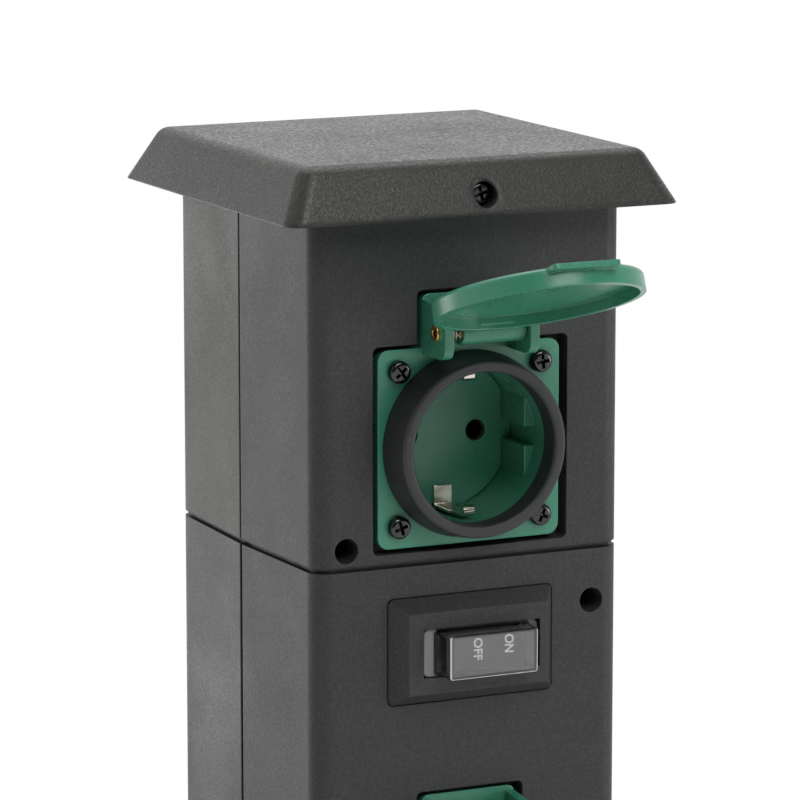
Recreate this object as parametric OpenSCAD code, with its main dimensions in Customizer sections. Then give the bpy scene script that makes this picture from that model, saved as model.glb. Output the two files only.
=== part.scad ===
// Garden socket post: a square plastic post of four shells under a drip cap, with two lidded
// earthed sockets, a rocker switch under a clear cover, a cable gland and a screw-down foot.
// Millimetres. Origin: centre of the foot's underside. The front faces -Y and up is +Z.

/* [Post] */
// Width across the front face
post_w = 85; // [84:1:100]
// Depth from the front face to the rear face
post_d = 86; // [84:1:100]
// How far each side swells from its front edge to the joint line
side_swell = 1.3; // [0.5:0.1:2]
// Radius of the upright corners
corner_r = 5; // [3:0.5:7]
// Wall thickness of the shells
wall = 2.6; // [2.4:0.1:3]
// Height of the lower pair of shells
lower_h = 175; // [165:1:240]
// Height of the upper pair of shells that shows below the cap
upper_h = 87.6; // [80:0.1:110]
// Open gap at the seam between the lower and the upper shells
seam_gap = 0.8; // [0.4:0.1:1]
// Open gap at the joint between the front and the rear shells
joint_gap = 0.6; // [0.2:0.1:0.8]
// Distance of the shell screws from the middle of the post
shell_screw_x = 34; // [33.5:0.1:35]

/* [Cap] */
// Overhang of the cap beyond the post at the front and the rear
cap_overhang = 10.4; // [9.4:0.2:14]
// Overhang of the cap beyond the post at the sides
cap_side_overhang = 10.9; // [9.4:0.1:14]
// Height of the cap
cap_h = 13.6; // [13:0.2:18]
// How far the cap's top edge lies inside its bottom edge
cap_inset = 6.8; // [5:0.2:7.2]
// Radius of the cap's corners at its bottom edge
cap_corner_r = 4.4; // [3:0.2:8]
// Rounding of the cap's top edge
cap_top_r = 4.5; // [3:0.5:5]

/* [Sockets] */
// Height of the upper socket's centre above the seam
upper_socket_rise = 29.2; // [29:0.1:32]
// Depth of the lower socket's centre below the seam
lower_socket_drop = 98; // [90:0.1:105]
// Side of the square flange
flange_w = 50; // [49:0.5:51]
// Thickness of the flange
flange_t = 3; // [2.5:0.1:3.5]
// How far the flange's face lies behind the post's front face
flange_sink = 1; // [0.5:0.1:1.5]
// Spacing of the four flange screws, both ways
flange_screw_pitch = 39; // [38.5:0.5:40]
// Radius of the round plug recess
cup_r = 19.5; // [19.3:0.1:19.8]
// Depth of the recess floor behind the post's front face
cup_depth = 16.5; // [15:0.5:18]
// How far the cup's mouth stands in front of the post's front face
cup_mouth = 2; // [1:0.1:3]
// Spacing of the two holes for the plug's pins
pin_pitch = 19; // [18:0.5:19.5]
// Radius of a hole for a plug pin
pin_hole_r = 2.75; // [2.6:0.05:3]
// How far the rubber ring's rim stands in front of the post's front face
ring_out = 8.4; // [7.5:0.1:8.5]

/* [Lids] */
// Radius of a lid
lid_r = 25.8; // [25.6:0.1:26.4]
// Height of a lid from its rim edge to its outer face
lid_h = 5; // [4.8:0.1:5.6]
// Angle at which the upper lid stands open
upper_lid_open = 110.6; // [0:0.1:115]
// Angle at which the lower lid stands open
lower_lid_open = 0; // [0:0.1:115]
// Height of the hinge axis above the socket's centre
hinge_rise = 29.8; // [29.5:0.1:30.5]
// Distance of the hinge axis in front of the post's front face
hinge_out = 7; // [6.7:0.1:7.5]
// Radius of the hollow hinge pin
hinge_pin_r = 1.6; // [1.4:0.1:1.8]

/* [Switch] */
// Depth of the switch's centre below the seam
switch_drop = 21.9; // [20:0.1:26]
// Width of the bezel at its base
bezel_w = 45.4; // [44:0.2:50]
// Height of the bezel at its base
bezel_h = 27; // [25:0.2:28]
// How far the bezel stands out of the front face
bezel_out = 5; // [4.5:0.1:6]
// Radius of the bezel's corners
bezel_corner_r = 1.5; // [1:0.1:2.5]
// How far the switch sits to the right of the bezel's middle
switch_x = 0.9; // [0:0.1:1.2]
// Width of the clear cover's front face
cover_w = 24; // [23.6:0.2:25]
// Height of the clear cover's box
cover_h = 11.4; // [11:0.1:12]
// How far the cover's short sides lean out from front to base
cover_lean = 1.4; // [0.8:0.1:1.6]
// How far the clear cover stands out of the front face
cover_out = 12; // [11.5:0.1:13]
// Tilt of the rocker to each side of its middle
rocker_tilt = 7; // [5:0.5:7]

/* [Foot] */
// Side of the square foot plate
foot_w = 114; // [110:1:140]
// Thickness of the foot plate
foot_t = 6; // [5:0.5:10]
// Radius of the foot plate's corners
foot_corner_r = 8; // [6:0.5:10]
// Spacing of the four fixing holes, both ways
foot_hole_pitch = 96; // [94:1:98]
// Radius of a fixing hole
foot_hole_r = 2.75; // [2.2:0.05:3.2]

/* [Cable gland] */
// Height of the gland's axis above the ground
gland_rise = 36; // [34:1:60]
// Radius of the gland's thread
gland_thread_r = 10; // [8:0.5:11]
// Radius of the seal's bore for the cable
gland_bore_r = 4; // [3:0.25:4.5]

/* [Hidden] */
$fn = 64;

// Colours of the plastics and metals
anthracite = [0.20, 0.20, 0.21];
cap_grey = [0.33, 0.33, 0.33];
socket_green = [0.16, 0.47, 0.36];
rubber_black = [0.07, 0.07, 0.07];
screw_black = [0.10, 0.10, 0.11];
brass = [0.80, 0.58, 0.22];
nickel = [0.75, 0.75, 0.72];
clear = [0.80, 0.82, 0.84, 0.4];

// Clearances: between fixed pieces, round a screw's shank, between moving pieces
fit_gap = 0.15;
screw_gap = 0.05;
move_gap = 0.3;
// How far a cut runs past the face it opens
past = 1;

// Levels of the post
front_y = -post_d / 2;
rear_y = post_d / 2;
joint_y = 0;
lower_z0 = foot_t;
seam_z = lower_z0 + lower_h;
lower_z1 = seam_z - seam_gap / 2;
upper_z0 = seam_z + seam_gap / 2;
cap_z0 = seam_z + upper_h;
cap_z1 = cap_z0 + cap_h;
ceiling_z = cap_z1 - wall;
upper_socket_z = seam_z + upper_socket_rise;
lower_socket_z = seam_z - lower_socket_drop;
switch_z = seam_z - switch_drop;
// Reach of the cutting blocks that part front from rear
reach = post_w + post_d;

// Shell edges: shadow step along the seam, lip over the seam, tongue along the joint
edge_step = 0.6;
lip_h = 0.7;
tongue_l = 3;

// Screws: head radius, head height and shank radius
shell_screw = [2.9, 2.3, 1.75];
flange_screw = [2.85, 2.2, 1.45];
foot_screw = [3.8, 2.6, 1.9];
block_screw = [1.7, 0.8, 1.4];
// Shell screw bosses, the depth of their screw seats before the joint and the screws' grip behind it
boss_r = 4;
sink_r = 3.2;
seat_before_joint = 12;
grip_behind_joint = 12;
cap_screw_rise = 4.9;
cap_screw_z = cap_z0 + cap_screw_rise;
lower_screw_top_drop = 13.7;
lower_screw_low_rise = 24;
upper_screw_low_rise = 5;
lower_screws = [
    [shell_screw_x, seam_z - lower_screw_top_drop],
    [-shell_screw_x, lower_z0 + lower_screw_low_rise]
];
upper_screws = [
    [-shell_screw_x, seam_z + upper_screw_low_rise],
    [shell_screw_x, cap_screw_z]
];
cap_seat = 3;
cap_grip = 9;
foot_boss = 31.5;
foot_boss_r = 4.6;
foot_grip = 12;
foot_sink = 3.2;
spigot_t = 2.4;
spigot_h = 5;

// Recess for a socket in the front wall
recess_gap_x = 1.8;
recess_gap_z = 1.1;
recess_wall = 1.7;
recess_r = 1.5;
gasket_t = 1;
recess_depth = flange_sink + flange_t + gasket_t;
recess_floor = 2.6;
flange_r = 3;
tab_w = 26;
tab_rise = 13.4;
tab_r = 2;
flange_boss_r = 3.2;
flange_grip = 6;

// Socket body: cup wall, plate that closes the cup, keyed side blocks and the groove between them
cup_wall = 2;
cup_outer_r = cup_r + cup_wall;
floor_t = 2.5;
key_x = 16.7;
key_h = 13;
key_groove = 5;
floor_back = -cup_depth - floor_t;

// Rubber ring
ring_base_r = 23.7;
ring_rim_r = 22.4;
ring_lip_r = 19.3;
ring_round = 0.9;

// Contacts behind the floor
carrier_w = 34;
carrier_h = 22;
carrier_d = 16;
sleeve_bore_r = 2.45;
sleeve_r = sleeve_bore_r + 0.9;
sleeve_seat = 1;
sleeve_front = floor_back + sleeve_seat - screw_gap;
tag_w = 4.8;
tag_t = 0.8;
tag_l = 4;
contact_back = floor_back - carrier_d - 1;
clip_w = 5;
clip_t = 0.8;
clip_y = cup_r - 0.8;
clip_foot = 13.2;
nose_r = 1.5;
nose_z = -2;
nose_leg = 3.5;
nose_w = 3;
// Where the clip's arm narrows to its nose
arm_neck = nose_z - nose_leg - 2;
yoke_z = floor_back - carrier_d;

// Hinge: ears on the tab, barrel on the lid
ear_in = 10.5;
ear_t = 2.4;
ear_r = 5;
ear_low = 6.3;
ear_corner = 3;
ear_top = 6.2;
ear_root_top = flange_w / 2 + tab_rise - 1.2;
// Furthest reach of an ear from the hinge axis on the lid's side
ear_sweep = norm([ear_low - ear_corner, ear_r - ear_corner]) + ear_corner;
barrel_r = 3.3;
barrel_x0 = -6.9;
barrel_x1 = ear_in - move_gap;
pin_run_gap = 0.06;
pin_hold_gap = 0.02;
pin_bore_r = hinge_pin_r - 0.7;
flare_r = hinge_pin_r + 0.5;
flare_t = 0.6;

// Lid: rubber touches the lid's inner face but for a hair
lid_inner_out = ring_out + 0.4;
lid_plate = 2;
lid_outer_out = lid_inner_out + lid_plate;
lid_rim_out = lid_outer_out - lid_h;
lid_rim_t = 1.5;
lid_round = 1.4;
// How far a closed lid's middle lies below the cup's, and to its right
lid_drop = 1;
lid_x = 0.6;
lip_w = 18;
lip_out = 2.2;
lip_in = 4;
lip_t = 1.4;
lip_r = 1.2;

// Hinge spring: wire, coil, turns and the leg that bears on the tab
spring_wire_r = 0.3;
spring_coil_r = hinge_pin_r + 0.75;
spring_pitch = 1.06;
spring_turns = 2.25;
spring_rings = 8;
spring_sides = 6;
spring_x0 = -ear_in + 0.5;
spring_free_leg = 1.2;
spring_leg = hinge_out + flange_sink;

// Switch: bezel slopes, clear cover, body and rocker
bezel_slope_x = 3.5;
bezel_slope_z = 3.2;
bezel_gap = 0.2;
bezel_lip = 3;
bezel_lip_t = 2;
cover_base_w = cover_w + 2 * cover_lean;
cover_rim_side = 2.6;
cover_rim_w = cover_base_w + 2 * cover_rim_side;
cover_rim_h = cover_h + 0.6;
cover_rim_t = 1.2;
cover_rim_out = bezel_out - 0.8;
cover_wall = 0.8;
switch_rim_out = cover_rim_out - cover_rim_t;
switch_rim_t = 2;
switch_ledge = 2;
switch_w = cover_rim_w - 2 * switch_ledge;
switch_h = cover_h + 0.2;
switch_back = -18;
switch_wall = 0.9;
rocker_half = cover_w / 2 - cover_wall - 1.2;
rocker_half_h = switch_h / 2 - switch_wall - move_gap;
pivot_out = 1.5;
pivot_r = 1.2;
rocker_end = cover_out - cover_wall - 0.5 - pivot_out - rocker_half * sin(rocker_tilt);
rocker_mid = rocker_end - rocker_half * tan(rocker_tilt);
rocker_skirt = 3;
rocker_hub = 3.4;
rocker_well = -6;
blade_pitch = 8;
blade_x = [for (i = [-1:1]) switch_x + i * blade_pitch];
blade_w = 4.8;
blade_t = 0.8;
blade_l = 8;

// Gland: hexagons, neck, seal and dome nut along +Y
gland_hex_r = gland_thread_r * 1.36;
gland_hex_t = 6;
gland_neck_r = gland_thread_r - 1;
gland_neck_l = 8;
gland_seal_r = gland_neck_r - 1.6;
gland_inner_r = gland_seal_r - 1.2;
gland_seal_l = 10;
gland_nut_l = 14;
gland_nut_r = gland_neck_r + 2.6;
gland_locknut_t = 4;
gland_tail = 4;
gland_inside = gland_locknut_t + gland_tail;
gland_seal_y = rear_y + gland_hex_t - 1;

// Terminal block on the rear wall
block_w = 48;
block_d = 16;
block_h = 20;
block_over_gland = 34;
block_z = gland_rise + block_over_gland;
block_y = rear_y - wall - block_d;
pole_pitch = 9;
poles = [-2, -1, 0, 1, 2];
pole_hole_r = 1.9;

// Inner wires and the points they run through
wire_r = 1.3;
wire_sides = 8;
wire_y = block_y + block_d / 2;
block_top = block_z + block_h / 2;
tag_y = front_y - contact_back + tag_l;
blade_y = front_y - switch_back + blade_l;
yoke_y = front_y - yoke_z + clip_t;
live_y = 4;
neutral_y = 14;
earth_y = 24;
bend = 8;
contact_x = pin_pitch / 2;

// Points of an arc from angle a0 to a1
function arc(cx, cy, r, a0, a1, steps = 8) =
    [for (i = [0:steps]) let (a = a0 + (a1 - a0) * i / steps) [cx + r * cos(a), cy + r * sin(a)]];

// Rounded rectangle about the origin
function rounded_rect(w, h, r) = concat(
    arc(w / 2 - r, h / 2 - r, r, 0, 90),
    arc(r - w / 2, h / 2 - r, r, 90, 180),
    arc(r - w / 2, r - h / 2, r, 180, 270),
    arc(w / 2 - r, r - h / 2, r, 270, 360)
);

// Plan of the post moved inwards by inset: round corners, and sides that swell to the joint line
function post_plan(inset) =
    let (hw = post_w / 2 - inset, hd = post_d / 2 - inset, r = max(corner_r - inset, 0.8))
    concat(
        arc(hw - r, hd - r, r, 0, 90),
        arc(r - hw, hd - r, r, 90, 180),
        [[-hw - side_swell, joint_y]],
        arc(r - hw, r - hd, r, 180, 270),
        arc(hw - r, r - hd, r, 270, 360),
        [[hw + side_swell, joint_y]]
    );

function unit(v) = v / norm(v);

// Direction of a path at point i
function heading(path, i) = unit(path[min(i + 1, len(path) - 1)] - path[max(i - 1, 0)]);

// Corners of a tube's ring at point i of its path; no stretch of the path runs along X alone
function tube_ring(path, i, r, sides) =
    let (t = heading(path, i), n = unit(cross([1, 0, 0], t)), b = cross(t, n))
    [for (k = [0:sides - 1]) path[i] + r * cos(360 * k / sides) * n + r * sin(360 * k / sides) * b];

// Round tube along a path, as one closed skin of triangles
module tube(path, r, sides) {
    last = (len(path) - 1) * sides;
    side_faces = [
        for (i = [0:len(path) - 2], k = [0:sides - 1])
            let (a = i * sides + k, b = i * sides + (k + 1) % sides)
            each [[a, a + sides, b + sides], [a, b + sides, b]]
    ];
    first_cap = [for (k = [1:sides - 2]) [0, k, k + 1]];
    last_cap = [for (k = [1:sides - 2]) [last, last + k + 1, last + k]];
    polyhedron([for (i = [0:len(path) - 1]) each tube_ring(path, i, r, sides)],
        concat(side_faces, first_cap, last_cap));
}

// Slab of the post's plan between two heights
module post_slab(inset, z0, z1) {
    translate([0, 0, z0])
        linear_extrude(z1 - z0)
            polygon(post_plan(inset));
}

// Frame on the front face at height z: local z points out of the face and local y points up
module on_front(z) {
    translate([0, front_y, z])
        rotate([90, 0, 0])
            children();
}

// Round bar along +Y from y0 to y1
module bar_y(x, z, r, y0, y1) {
    translate([x, y0, z])
        rotate([-90, 0, 0])
            cylinder(r = r, h = y1 - y0);
}

// Round bar along X from x0 to x1, through the hinge axis of a socket
module hinge_bar(r, x0, x1) {
    translate([x0, hinge_rise, hinge_out])
        rotate([0, 90, 0])
            cylinder(r = r, h = x1 - x0);
}

// Outline in local y and z, extruded along X about the middle
module along_x(w) {
    rotate([90, 0, 90])
        translate([0, 0, -w / 2])
            linear_extrude(w)
                children();
}

// Block between two corners
module block(low, high) {
    translate(low)
        cube(high - low);
}

// Screw with its head above z = 0 and its shank below
module screw(size, shank_l) {
    head_r = size[0];
    head_h = size[1];
    rise = head_h * 0.45;
    rotate_extrude()
        polygon(concat(
            [[0, 0], [head_r, 0]],
            arc(head_r - rise, head_h - rise, rise, 0, 90),
            [[0, head_h]]
        ));
    translate([0, 0, -shank_l])
        cylinder(r = size[2], h = shank_l);
}

// Everything in front of the joint, or behind it
module front_space() {
    block([-reach, -reach, -reach], [reach, joint_y - joint_gap / 2, 3 * reach]);
}

module rear_space() {
    block([-reach, joint_y + joint_gap / 2, -reach], [reach, reach, 3 * reach]);
}

// Hollow wall of a pair of shells, with a shadow step along its bottom edge
module shell_wall(z0, z1) {
    difference() {
        union() {
            post_slab(0, z0 + edge_step, z1);
            post_slab(edge_step, z0, z1);
        }
        post_slab(wall, z0 - past, z1 + past);
    }
}

// Inner half of the wall between two heights
module inner_skin(z0, z1) {
    difference() {
        post_slab(wall / 2 + fit_gap, z0, z1);
        post_slab(wall, z0 - past, z1 + past);
    }
}

// Lip of the lower shells that closes the seam from within
module seam_lip() {
    inner_skin(lower_z1 - past, seam_z + lip_h);
}

// Room for that lip in the upper shells
module lip_room() {
    post_slab(wall / 2, upper_z0 - past, seam_z + lip_h);
}

// Tongue of a rear shell that closes the joint from within
module joint_tongue(z0, z1) {
    intersection() {
        inner_skin(z0, z1);
        block([-reach, joint_y - tongue_l, z0], [reach, joint_y + past, z1]);
    }
}

// Room for that tongue in a front shell
module tongue_room(z0, z1) {
    intersection() {
        post_slab(wall / 2, z0 - past, z1 + past);
        block([-reach, joint_y - tongue_l - fit_gap, z0 - past], [reach, joint_y + past, z1 + past]);
    }
}

// Bosses of the shell screws, from the front wall to the joint and from there to the rear wall
module front_bosses(places) {
    for (p = places)
        bar_y(p[0], p[1], boss_r, front_y + wall / 2, joint_y - joint_gap / 2);
}

module rear_bosses(places) {
    for (p = places)
        bar_y(p[0], p[1], boss_r, joint_y - joint_gap / 2, rear_y - wall / 2);
}

// Sunk seats and shank holes of the shell screws
module front_sinks(places) {
    seat_y = joint_y - seat_before_joint;
    for (p = places) {
        bar_y(p[0], p[1], sink_r, front_y - past, seat_y);
        bar_y(p[0], p[1], shell_screw[2] + screw_gap, seat_y - past, joint_y + past);
    }
}

module rear_pilots(places) {
    for (p = places)
        bar_y(p[0], p[1], shell_screw[2] + screw_gap, joint_y - past, joint_y + grip_behind_joint + past);
}

module shell_screws(places) {
    for (p = places)
        translate([p[0], joint_y - seat_before_joint, p[1]])
            rotate([90, 0, 0])
                screw(shell_screw, seat_before_joint + grip_behind_joint);
}

// Plan of a socket's recess with its notch for the hinge tab
module recess_plan(grow) {
    half_x = flange_w / 2 + recess_gap_x + grow;
    half_z = flange_w / 2 + recess_gap_z + grow;
    tab_half = tab_w / 2 + recess_gap_x + grow;
    tab_h = half_z + tab_rise;
    polygon(rounded_rect(2 * half_x, 2 * half_z, recess_r + grow));
    translate([0, tab_h / 2])
        polygon(rounded_rect(2 * tab_half, tab_h, recess_r + grow));
}

// Places of the flange screws
module at_flange_screws() {
    for (sx = [-1, 1], sy = [-1, 1])
        translate([sx * flange_screw_pitch / 2, sy * flange_screw_pitch / 2, 0])
            children();
}

// Walls round a recess and the bosses behind its floor
module recess_box(z) {
    on_front(z) {
        translate([0, 0, -recess_depth - recess_floor])
            linear_extrude(recess_depth + recess_floor - wall / 2)
                recess_plan(recess_wall);
        at_flange_screws()
            translate([0, 0, -recess_depth - recess_floor - flange_grip])
                cylinder(r = flange_boss_r, h = flange_grip + 1);
    }
}

// Room in a recess for the flange, the cup and the flange screws
module recess_room(z) {
    on_front(z) {
        translate([0, 0, -recess_depth])
            linear_extrude(recess_depth + past)
                recess_plan(0);
        translate([0, 0, -recess_depth - recess_floor - past])
            cylinder(r = cup_outer_r + 0.5, h = recess_floor + 2 * past);
        at_flange_screws()
            translate([0, 0, -recess_depth - recess_floor - flange_grip - past])
                cylinder(r = flange_screw[2] + screw_gap, h = recess_floor + flange_grip + 2 * past);
    }
}

// Upright bosses at the bottom of the lower shells for the foot screws
module foot_bosses(side) {
    for (sx = [-1, 1])
        translate([sx * foot_boss, side * foot_boss, lower_z0])
            cylinder(r = foot_boss_r, h = foot_grip + 2);
}

module foot_pilots(side) {
    for (sx = [-1, 1])
        translate([sx * foot_boss, side * foot_boss, lower_z0 - past])
            cylinder(r = foot_screw[2] + screw_gap, h = foot_grip + 2 * past);
}

// Webs that tie a foot boss to the shell's wall
module foot_webs(side) {
    inner = post_d / 2 - wall / 2;
    for (sx = [-1, 1])
        block([sx * foot_boss - 1, min(side * foot_boss, side * inner), lower_z0 + spigot_h + 1.5],
            [sx * foot_boss + 1, max(side * foot_boss, side * inner), lower_z0 + foot_grip + 2]);
}

// Foot: plate on the ground with a spigot that stands inside the lower shells
module foot() {
    color(anthracite)
        difference() {
            union() {
                linear_extrude(foot_t)
                    polygon(rounded_rect(foot_w, foot_w, foot_corner_r));
                difference() {
                    post_slab(wall + fit_gap, foot_t - past, foot_t + spigot_h);
                    post_slab(wall + fit_gap + spigot_t, foot_t - 2 * past, foot_t + spigot_h + past);
                }
            }
            for (sx = [-1, 1], sy = [-1, 1]) {
                translate([sx * foot_hole_pitch / 2, sy * foot_hole_pitch / 2, -past])
                    cylinder(r = foot_hole_r, h = foot_t + 2 * past);
                translate([sx * foot_boss, sy * foot_boss, -past])
                    cylinder(r = foot_screw[2] + screw_gap, h = foot_t + 2 * past);
                translate([sx * foot_boss, sy * foot_boss, -past])
                    cylinder(r = foot_screw[0] + 0.3, h = foot_sink + past);
            }
        }
}

module foot_screws() {
    color(screw_black)
        for (sx = [-1, 1], sy = [-1, 1])
            translate([sx * foot_boss, sy * foot_boss, foot_sink])
                rotate([180, 0, 0])
                    screw(foot_screw, foot_t - foot_sink + foot_grip);
}

// Plan of the switch's bezel, or of the opening round it
module bezel_plan(grow) {
    polygon(rounded_rect(bezel_w + 2 * grow, bezel_h + 2 * grow, bezel_corner_r + grow));
}

// Lower front shell: switch opening above, socket recess below
module lower_front_shell() {
    color(anthracite)
        difference() {
            union() {
                intersection() {
                    difference() {
                        union() {
                            shell_wall(lower_z0, lower_z1);
                            seam_lip();
                        }
                        tongue_room(lower_z0, lower_z1);
                    }
                    front_space();
                }
                recess_box(lower_socket_z);
                front_bosses(lower_screws);
                foot_bosses(-1);
                foot_webs(-1);
            }
            recess_room(lower_socket_z);
            front_sinks(lower_screws);
            foot_pilots(-1);
            on_front(switch_z)
                translate([0, 0, -2 * wall])
                    linear_extrude(3 * wall)
                        bezel_plan(bezel_gap);
        }
}

// Lower rear shell: plain, with the hole for the cable gland
module lower_rear_shell() {
    color(anthracite)
        difference() {
            union() {
                intersection() {
                    union() {
                        shell_wall(lower_z0, lower_z1);
                        seam_lip();
                    }
                    rear_space();
                }
                joint_tongue(lower_z0 + spigot_h + 0.5, lower_z1);
                rear_bosses(lower_screws);
                foot_bosses(1);
                foot_webs(1);
            }
            rear_pilots(lower_screws);
            foot_pilots(1);
            bar_y(0, gland_rise, gland_thread_r + fit_gap, rear_y - 2 * wall, rear_y + past);
        }
}

module lower_shell_screws() {
    color(screw_black)
        shell_screws(lower_screws);
}

// Upper front shell: socket recess, and a boss under the cap for the front cap screw
module upper_front_shell() {
    color(anthracite)
        difference() {
            union() {
                intersection() {
                    difference() {
                        shell_wall(upper_z0, ceiling_z);
                        lip_room();
                        tongue_room(upper_z0, ceiling_z);
                    }
                    front_space();
                }
                recess_box(upper_socket_z);
                front_bosses(upper_screws);
                bar_y(0, cap_screw_z, boss_r, front_y + wall / 2, front_y + cap_grip);
            }
            recess_room(upper_socket_z);
            front_sinks(upper_screws);
            bar_y(0, cap_screw_z, shell_screw[2] + screw_gap, front_y - past, front_y + cap_grip + past);
        }
}

// Upper rear shell, with a boss under the cap for the rear cap screw
module upper_rear_shell() {
    color(anthracite)
        difference() {
            union() {
                intersection() {
                    difference() {
                        shell_wall(upper_z0, ceiling_z);
                        lip_room();
                    }
                    rear_space();
                }
                joint_tongue(seam_z + lip_h + fit_gap, ceiling_z);
                rear_bosses(upper_screws);
                bar_y(0, cap_screw_z, boss_r, rear_y - cap_grip, rear_y - wall / 2);
            }
            rear_pilots(upper_screws);
            bar_y(0, cap_screw_z, shell_screw[2] + screw_gap, rear_y - cap_grip - past, rear_y + past);
        }
}

module upper_shell_screws() {
    color(screw_black)
        shell_screws(upper_screws);
}

// Places of four corners at half sizes x and y
module at_corners(x, y, z) {
    for (sx = [-1, 1], sy = [-1, 1])
        translate([sx * x, sy * y, z])
            children();
}

// Outer form of the cap: sloped sides, round corners and a rounded top edge
module cap_form() {
    half_x = post_w / 2 + cap_side_overhang;
    half_y = post_d / 2 + cap_overhang;
    slope = atan(cap_inset / cap_h);
    top_in = cap_inset + cap_top_r * tan(45 - slope / 2);
    edge_h = 1.2;
    hull($fn = 32) {
        at_corners(half_x - cap_corner_r, half_y - cap_corner_r, cap_z0)
            cylinder(r = cap_corner_r, h = edge_h);
        at_corners(half_x - top_in, half_y - top_in, cap_z1 - cap_top_r)
            sphere(r = cap_top_r);
    }
}

// Hollow under the cap's overhang
module cap_flare() {
    flare_h = cap_h * 0.55;
    skirt = 2.4;
    low_r = cap_corner_r - skirt;
    high_in = cap_inset * flare_h / cap_h + skirt + low_r;
    half_x = post_w / 2 + cap_side_overhang;
    half_y = post_d / 2 + cap_overhang;
    hull($fn = 32) {
        at_corners(half_x - cap_corner_r, half_y - cap_corner_r, cap_z0 - past)
            cylinder(r = low_r, h = past);
        at_corners(half_x - high_in, half_y - high_in, cap_z0 + flare_h - past)
            cylinder(r = low_r, h = past);
    }
}

// Drip cap: sits on the upper shells and is held by one screw in front and one behind
module cap() {
    boss_end = post_d / 2 + fit_gap;
    seat = boss_end + cap_seat;
    outside = post_d / 2 + 2 * cap_overhang;
    color(cap_grey)
        difference() {
            cap_form();
            difference() {
                union() {
                    cap_flare();
                    post_slab(-2 * fit_gap, cap_z0 - past, ceiling_z);
                }
                for (turn = [0, 180])
                    rotate([0, 0, turn])
                        bar_y(0, cap_screw_z, boss_r + 0.5, boss_end, outside);
            }
            for (turn = [0, 180])
                rotate([0, 0, turn]) {
                    bar_y(0, cap_screw_z, sink_r, seat, outside);
                    bar_y(0, cap_screw_z, shell_screw[2] + screw_gap, boss_end - past, outside);
                }
        }
}

module cap_screws() {
    color(screw_black)
        for (turn = [0, 180])
            rotate([0, 0, turn])
                translate([0, post_d / 2 + fit_gap + cap_seat, cap_screw_z])
                    rotate([-90, 0, 0])
                        screw(shell_screw, cap_seat + cap_grip);
}

// Plan of a socket's flange with its hinge tab
module flange_plan(shrink) {
    side = flange_w - 2 * shrink;
    tab_h = flange_w / 2 + tab_rise - shrink;
    polygon(rounded_rect(side, side, flange_r));
    translate([0, tab_h / 2])
        polygon(rounded_rect(tab_w - 2 * shrink, tab_h, tab_r));
}

// Round room through the cup, with two keyed blocks left standing on each side
module cup_room() {
    difference() {
        translate([0, 0, floor_back - past])
            cylinder(r = cup_r, h = cup_mouth - floor_back + 2 * past);
        for (sx = [0, 1], sy = [0, 1])
            mirror([sx, 0, 0])
                mirror([0, sy, 0])
                    block([key_x, key_groove / 2, fit_gap - cup_depth],
                        [2 * cup_r, 2 * cup_r, key_h - cup_depth]);
    }
}

// Hinge ear from the tab's top edge out round the hinge axis, for the side sx
module hinge_ear(sx) {
    root = -flange_sink - flange_t / 2;
    low_y = hinge_rise - ear_low;
    end_z = hinge_out + ear_r - ear_corner;
    translate([sx * (ear_in + ear_t / 2), 0, 0])
        along_x(ear_t)
            polygon(concat(
                [[low_y, root]],
                arc(low_y + ear_corner, end_z, ear_corner, 180, 90),
                arc(hinge_rise + ear_top - ear_corner, end_z, ear_corner, 90, 0),
                [[ear_root_top, root]]
            ));
}

// Socket body: flange, cup with keyed recess, hinge tab and ears
module socket_body(z) {
    color(socket_green)
        on_front(z)
            difference() {
                union() {
                    translate([0, 0, -flange_sink - flange_t])
                        linear_extrude(flange_t)
                            flange_plan(0);
                    translate([0, 0, floor_back])
                        cylinder(r = cup_outer_r, h = cup_mouth - floor_back);
                    for (sx = [-1, 1])
                        hinge_ear(sx);
                }
                cup_room();
                at_flange_screws()
                    translate([0, 0, -flange_sink - flange_t - past])
                        cylinder(r = flange_screw[2] + screw_gap, h = flange_t + 2 * past);
                hinge_bar(hinge_pin_r + pin_hold_gap, -ear_in - ear_t - past, ear_in + ear_t + past);
            }
}

// Plate that closes the cup: pin holes, seats for the contact sleeves and slots for the earth clip
module contact_plate(z) {
    color(socket_green)
        on_front(z)
            difference() {
                translate([0, 0, floor_back])
                    cylinder(r = cup_r - fit_gap, h = floor_t);
                for (sx = [-1, 1])
                    translate([sx * pin_pitch / 2, 0, floor_back - past]) {
                        cylinder(r = pin_hole_r, h = floor_t + 2 * past);
                        cylinder(r = sleeve_r + screw_gap, h = past + sleeve_seat);
                    }
                for (sy = [-1, 1])
                    translate([0, sy * (clip_y - clip_t / 2), floor_back])
                        cube([clip_w + 0.4, clip_t + 0.4, 2 * floor_t + past], center = true);
            }
}

// Gasket between the flange and the floor of the recess
module socket_gasket(z) {
    color(rubber_black)
        on_front(z)
            translate([0, 0, -recess_depth])
                difference() {
                    linear_extrude(gasket_t)
                        flange_plan(0.5);
                    translate([0, 0, -past])
                        cylinder(r = cup_outer_r + fit_gap, h = gasket_t + 2 * past);
                    at_flange_screws()
                        translate([0, 0, -past])
                            cylinder(r = flange_screw[2] + screw_gap, h = gasket_t + 2 * past);
                }
}

// Rubber ring: sleeve round the cup's mouth with an inward lip and a rounded rim
module seal_ring(z) {
    color(rubber_black)
        on_front(z)
            rotate_extrude($fn = 96)
                polygon(concat(
                    [[cup_outer_r + screw_gap, -flange_sink], [ring_base_r, -flange_sink]],
                    arc(ring_rim_r - ring_round, ring_out - ring_round, ring_round, 0, 90, 5),
                    arc(ring_lip_r + ring_round, ring_out - ring_round, ring_round, 90, 180, 5),
                    [[ring_lip_r, cup_mouth + screw_gap], [cup_outer_r + screw_gap, cup_mouth + screw_gap]]
                ));
}

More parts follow.
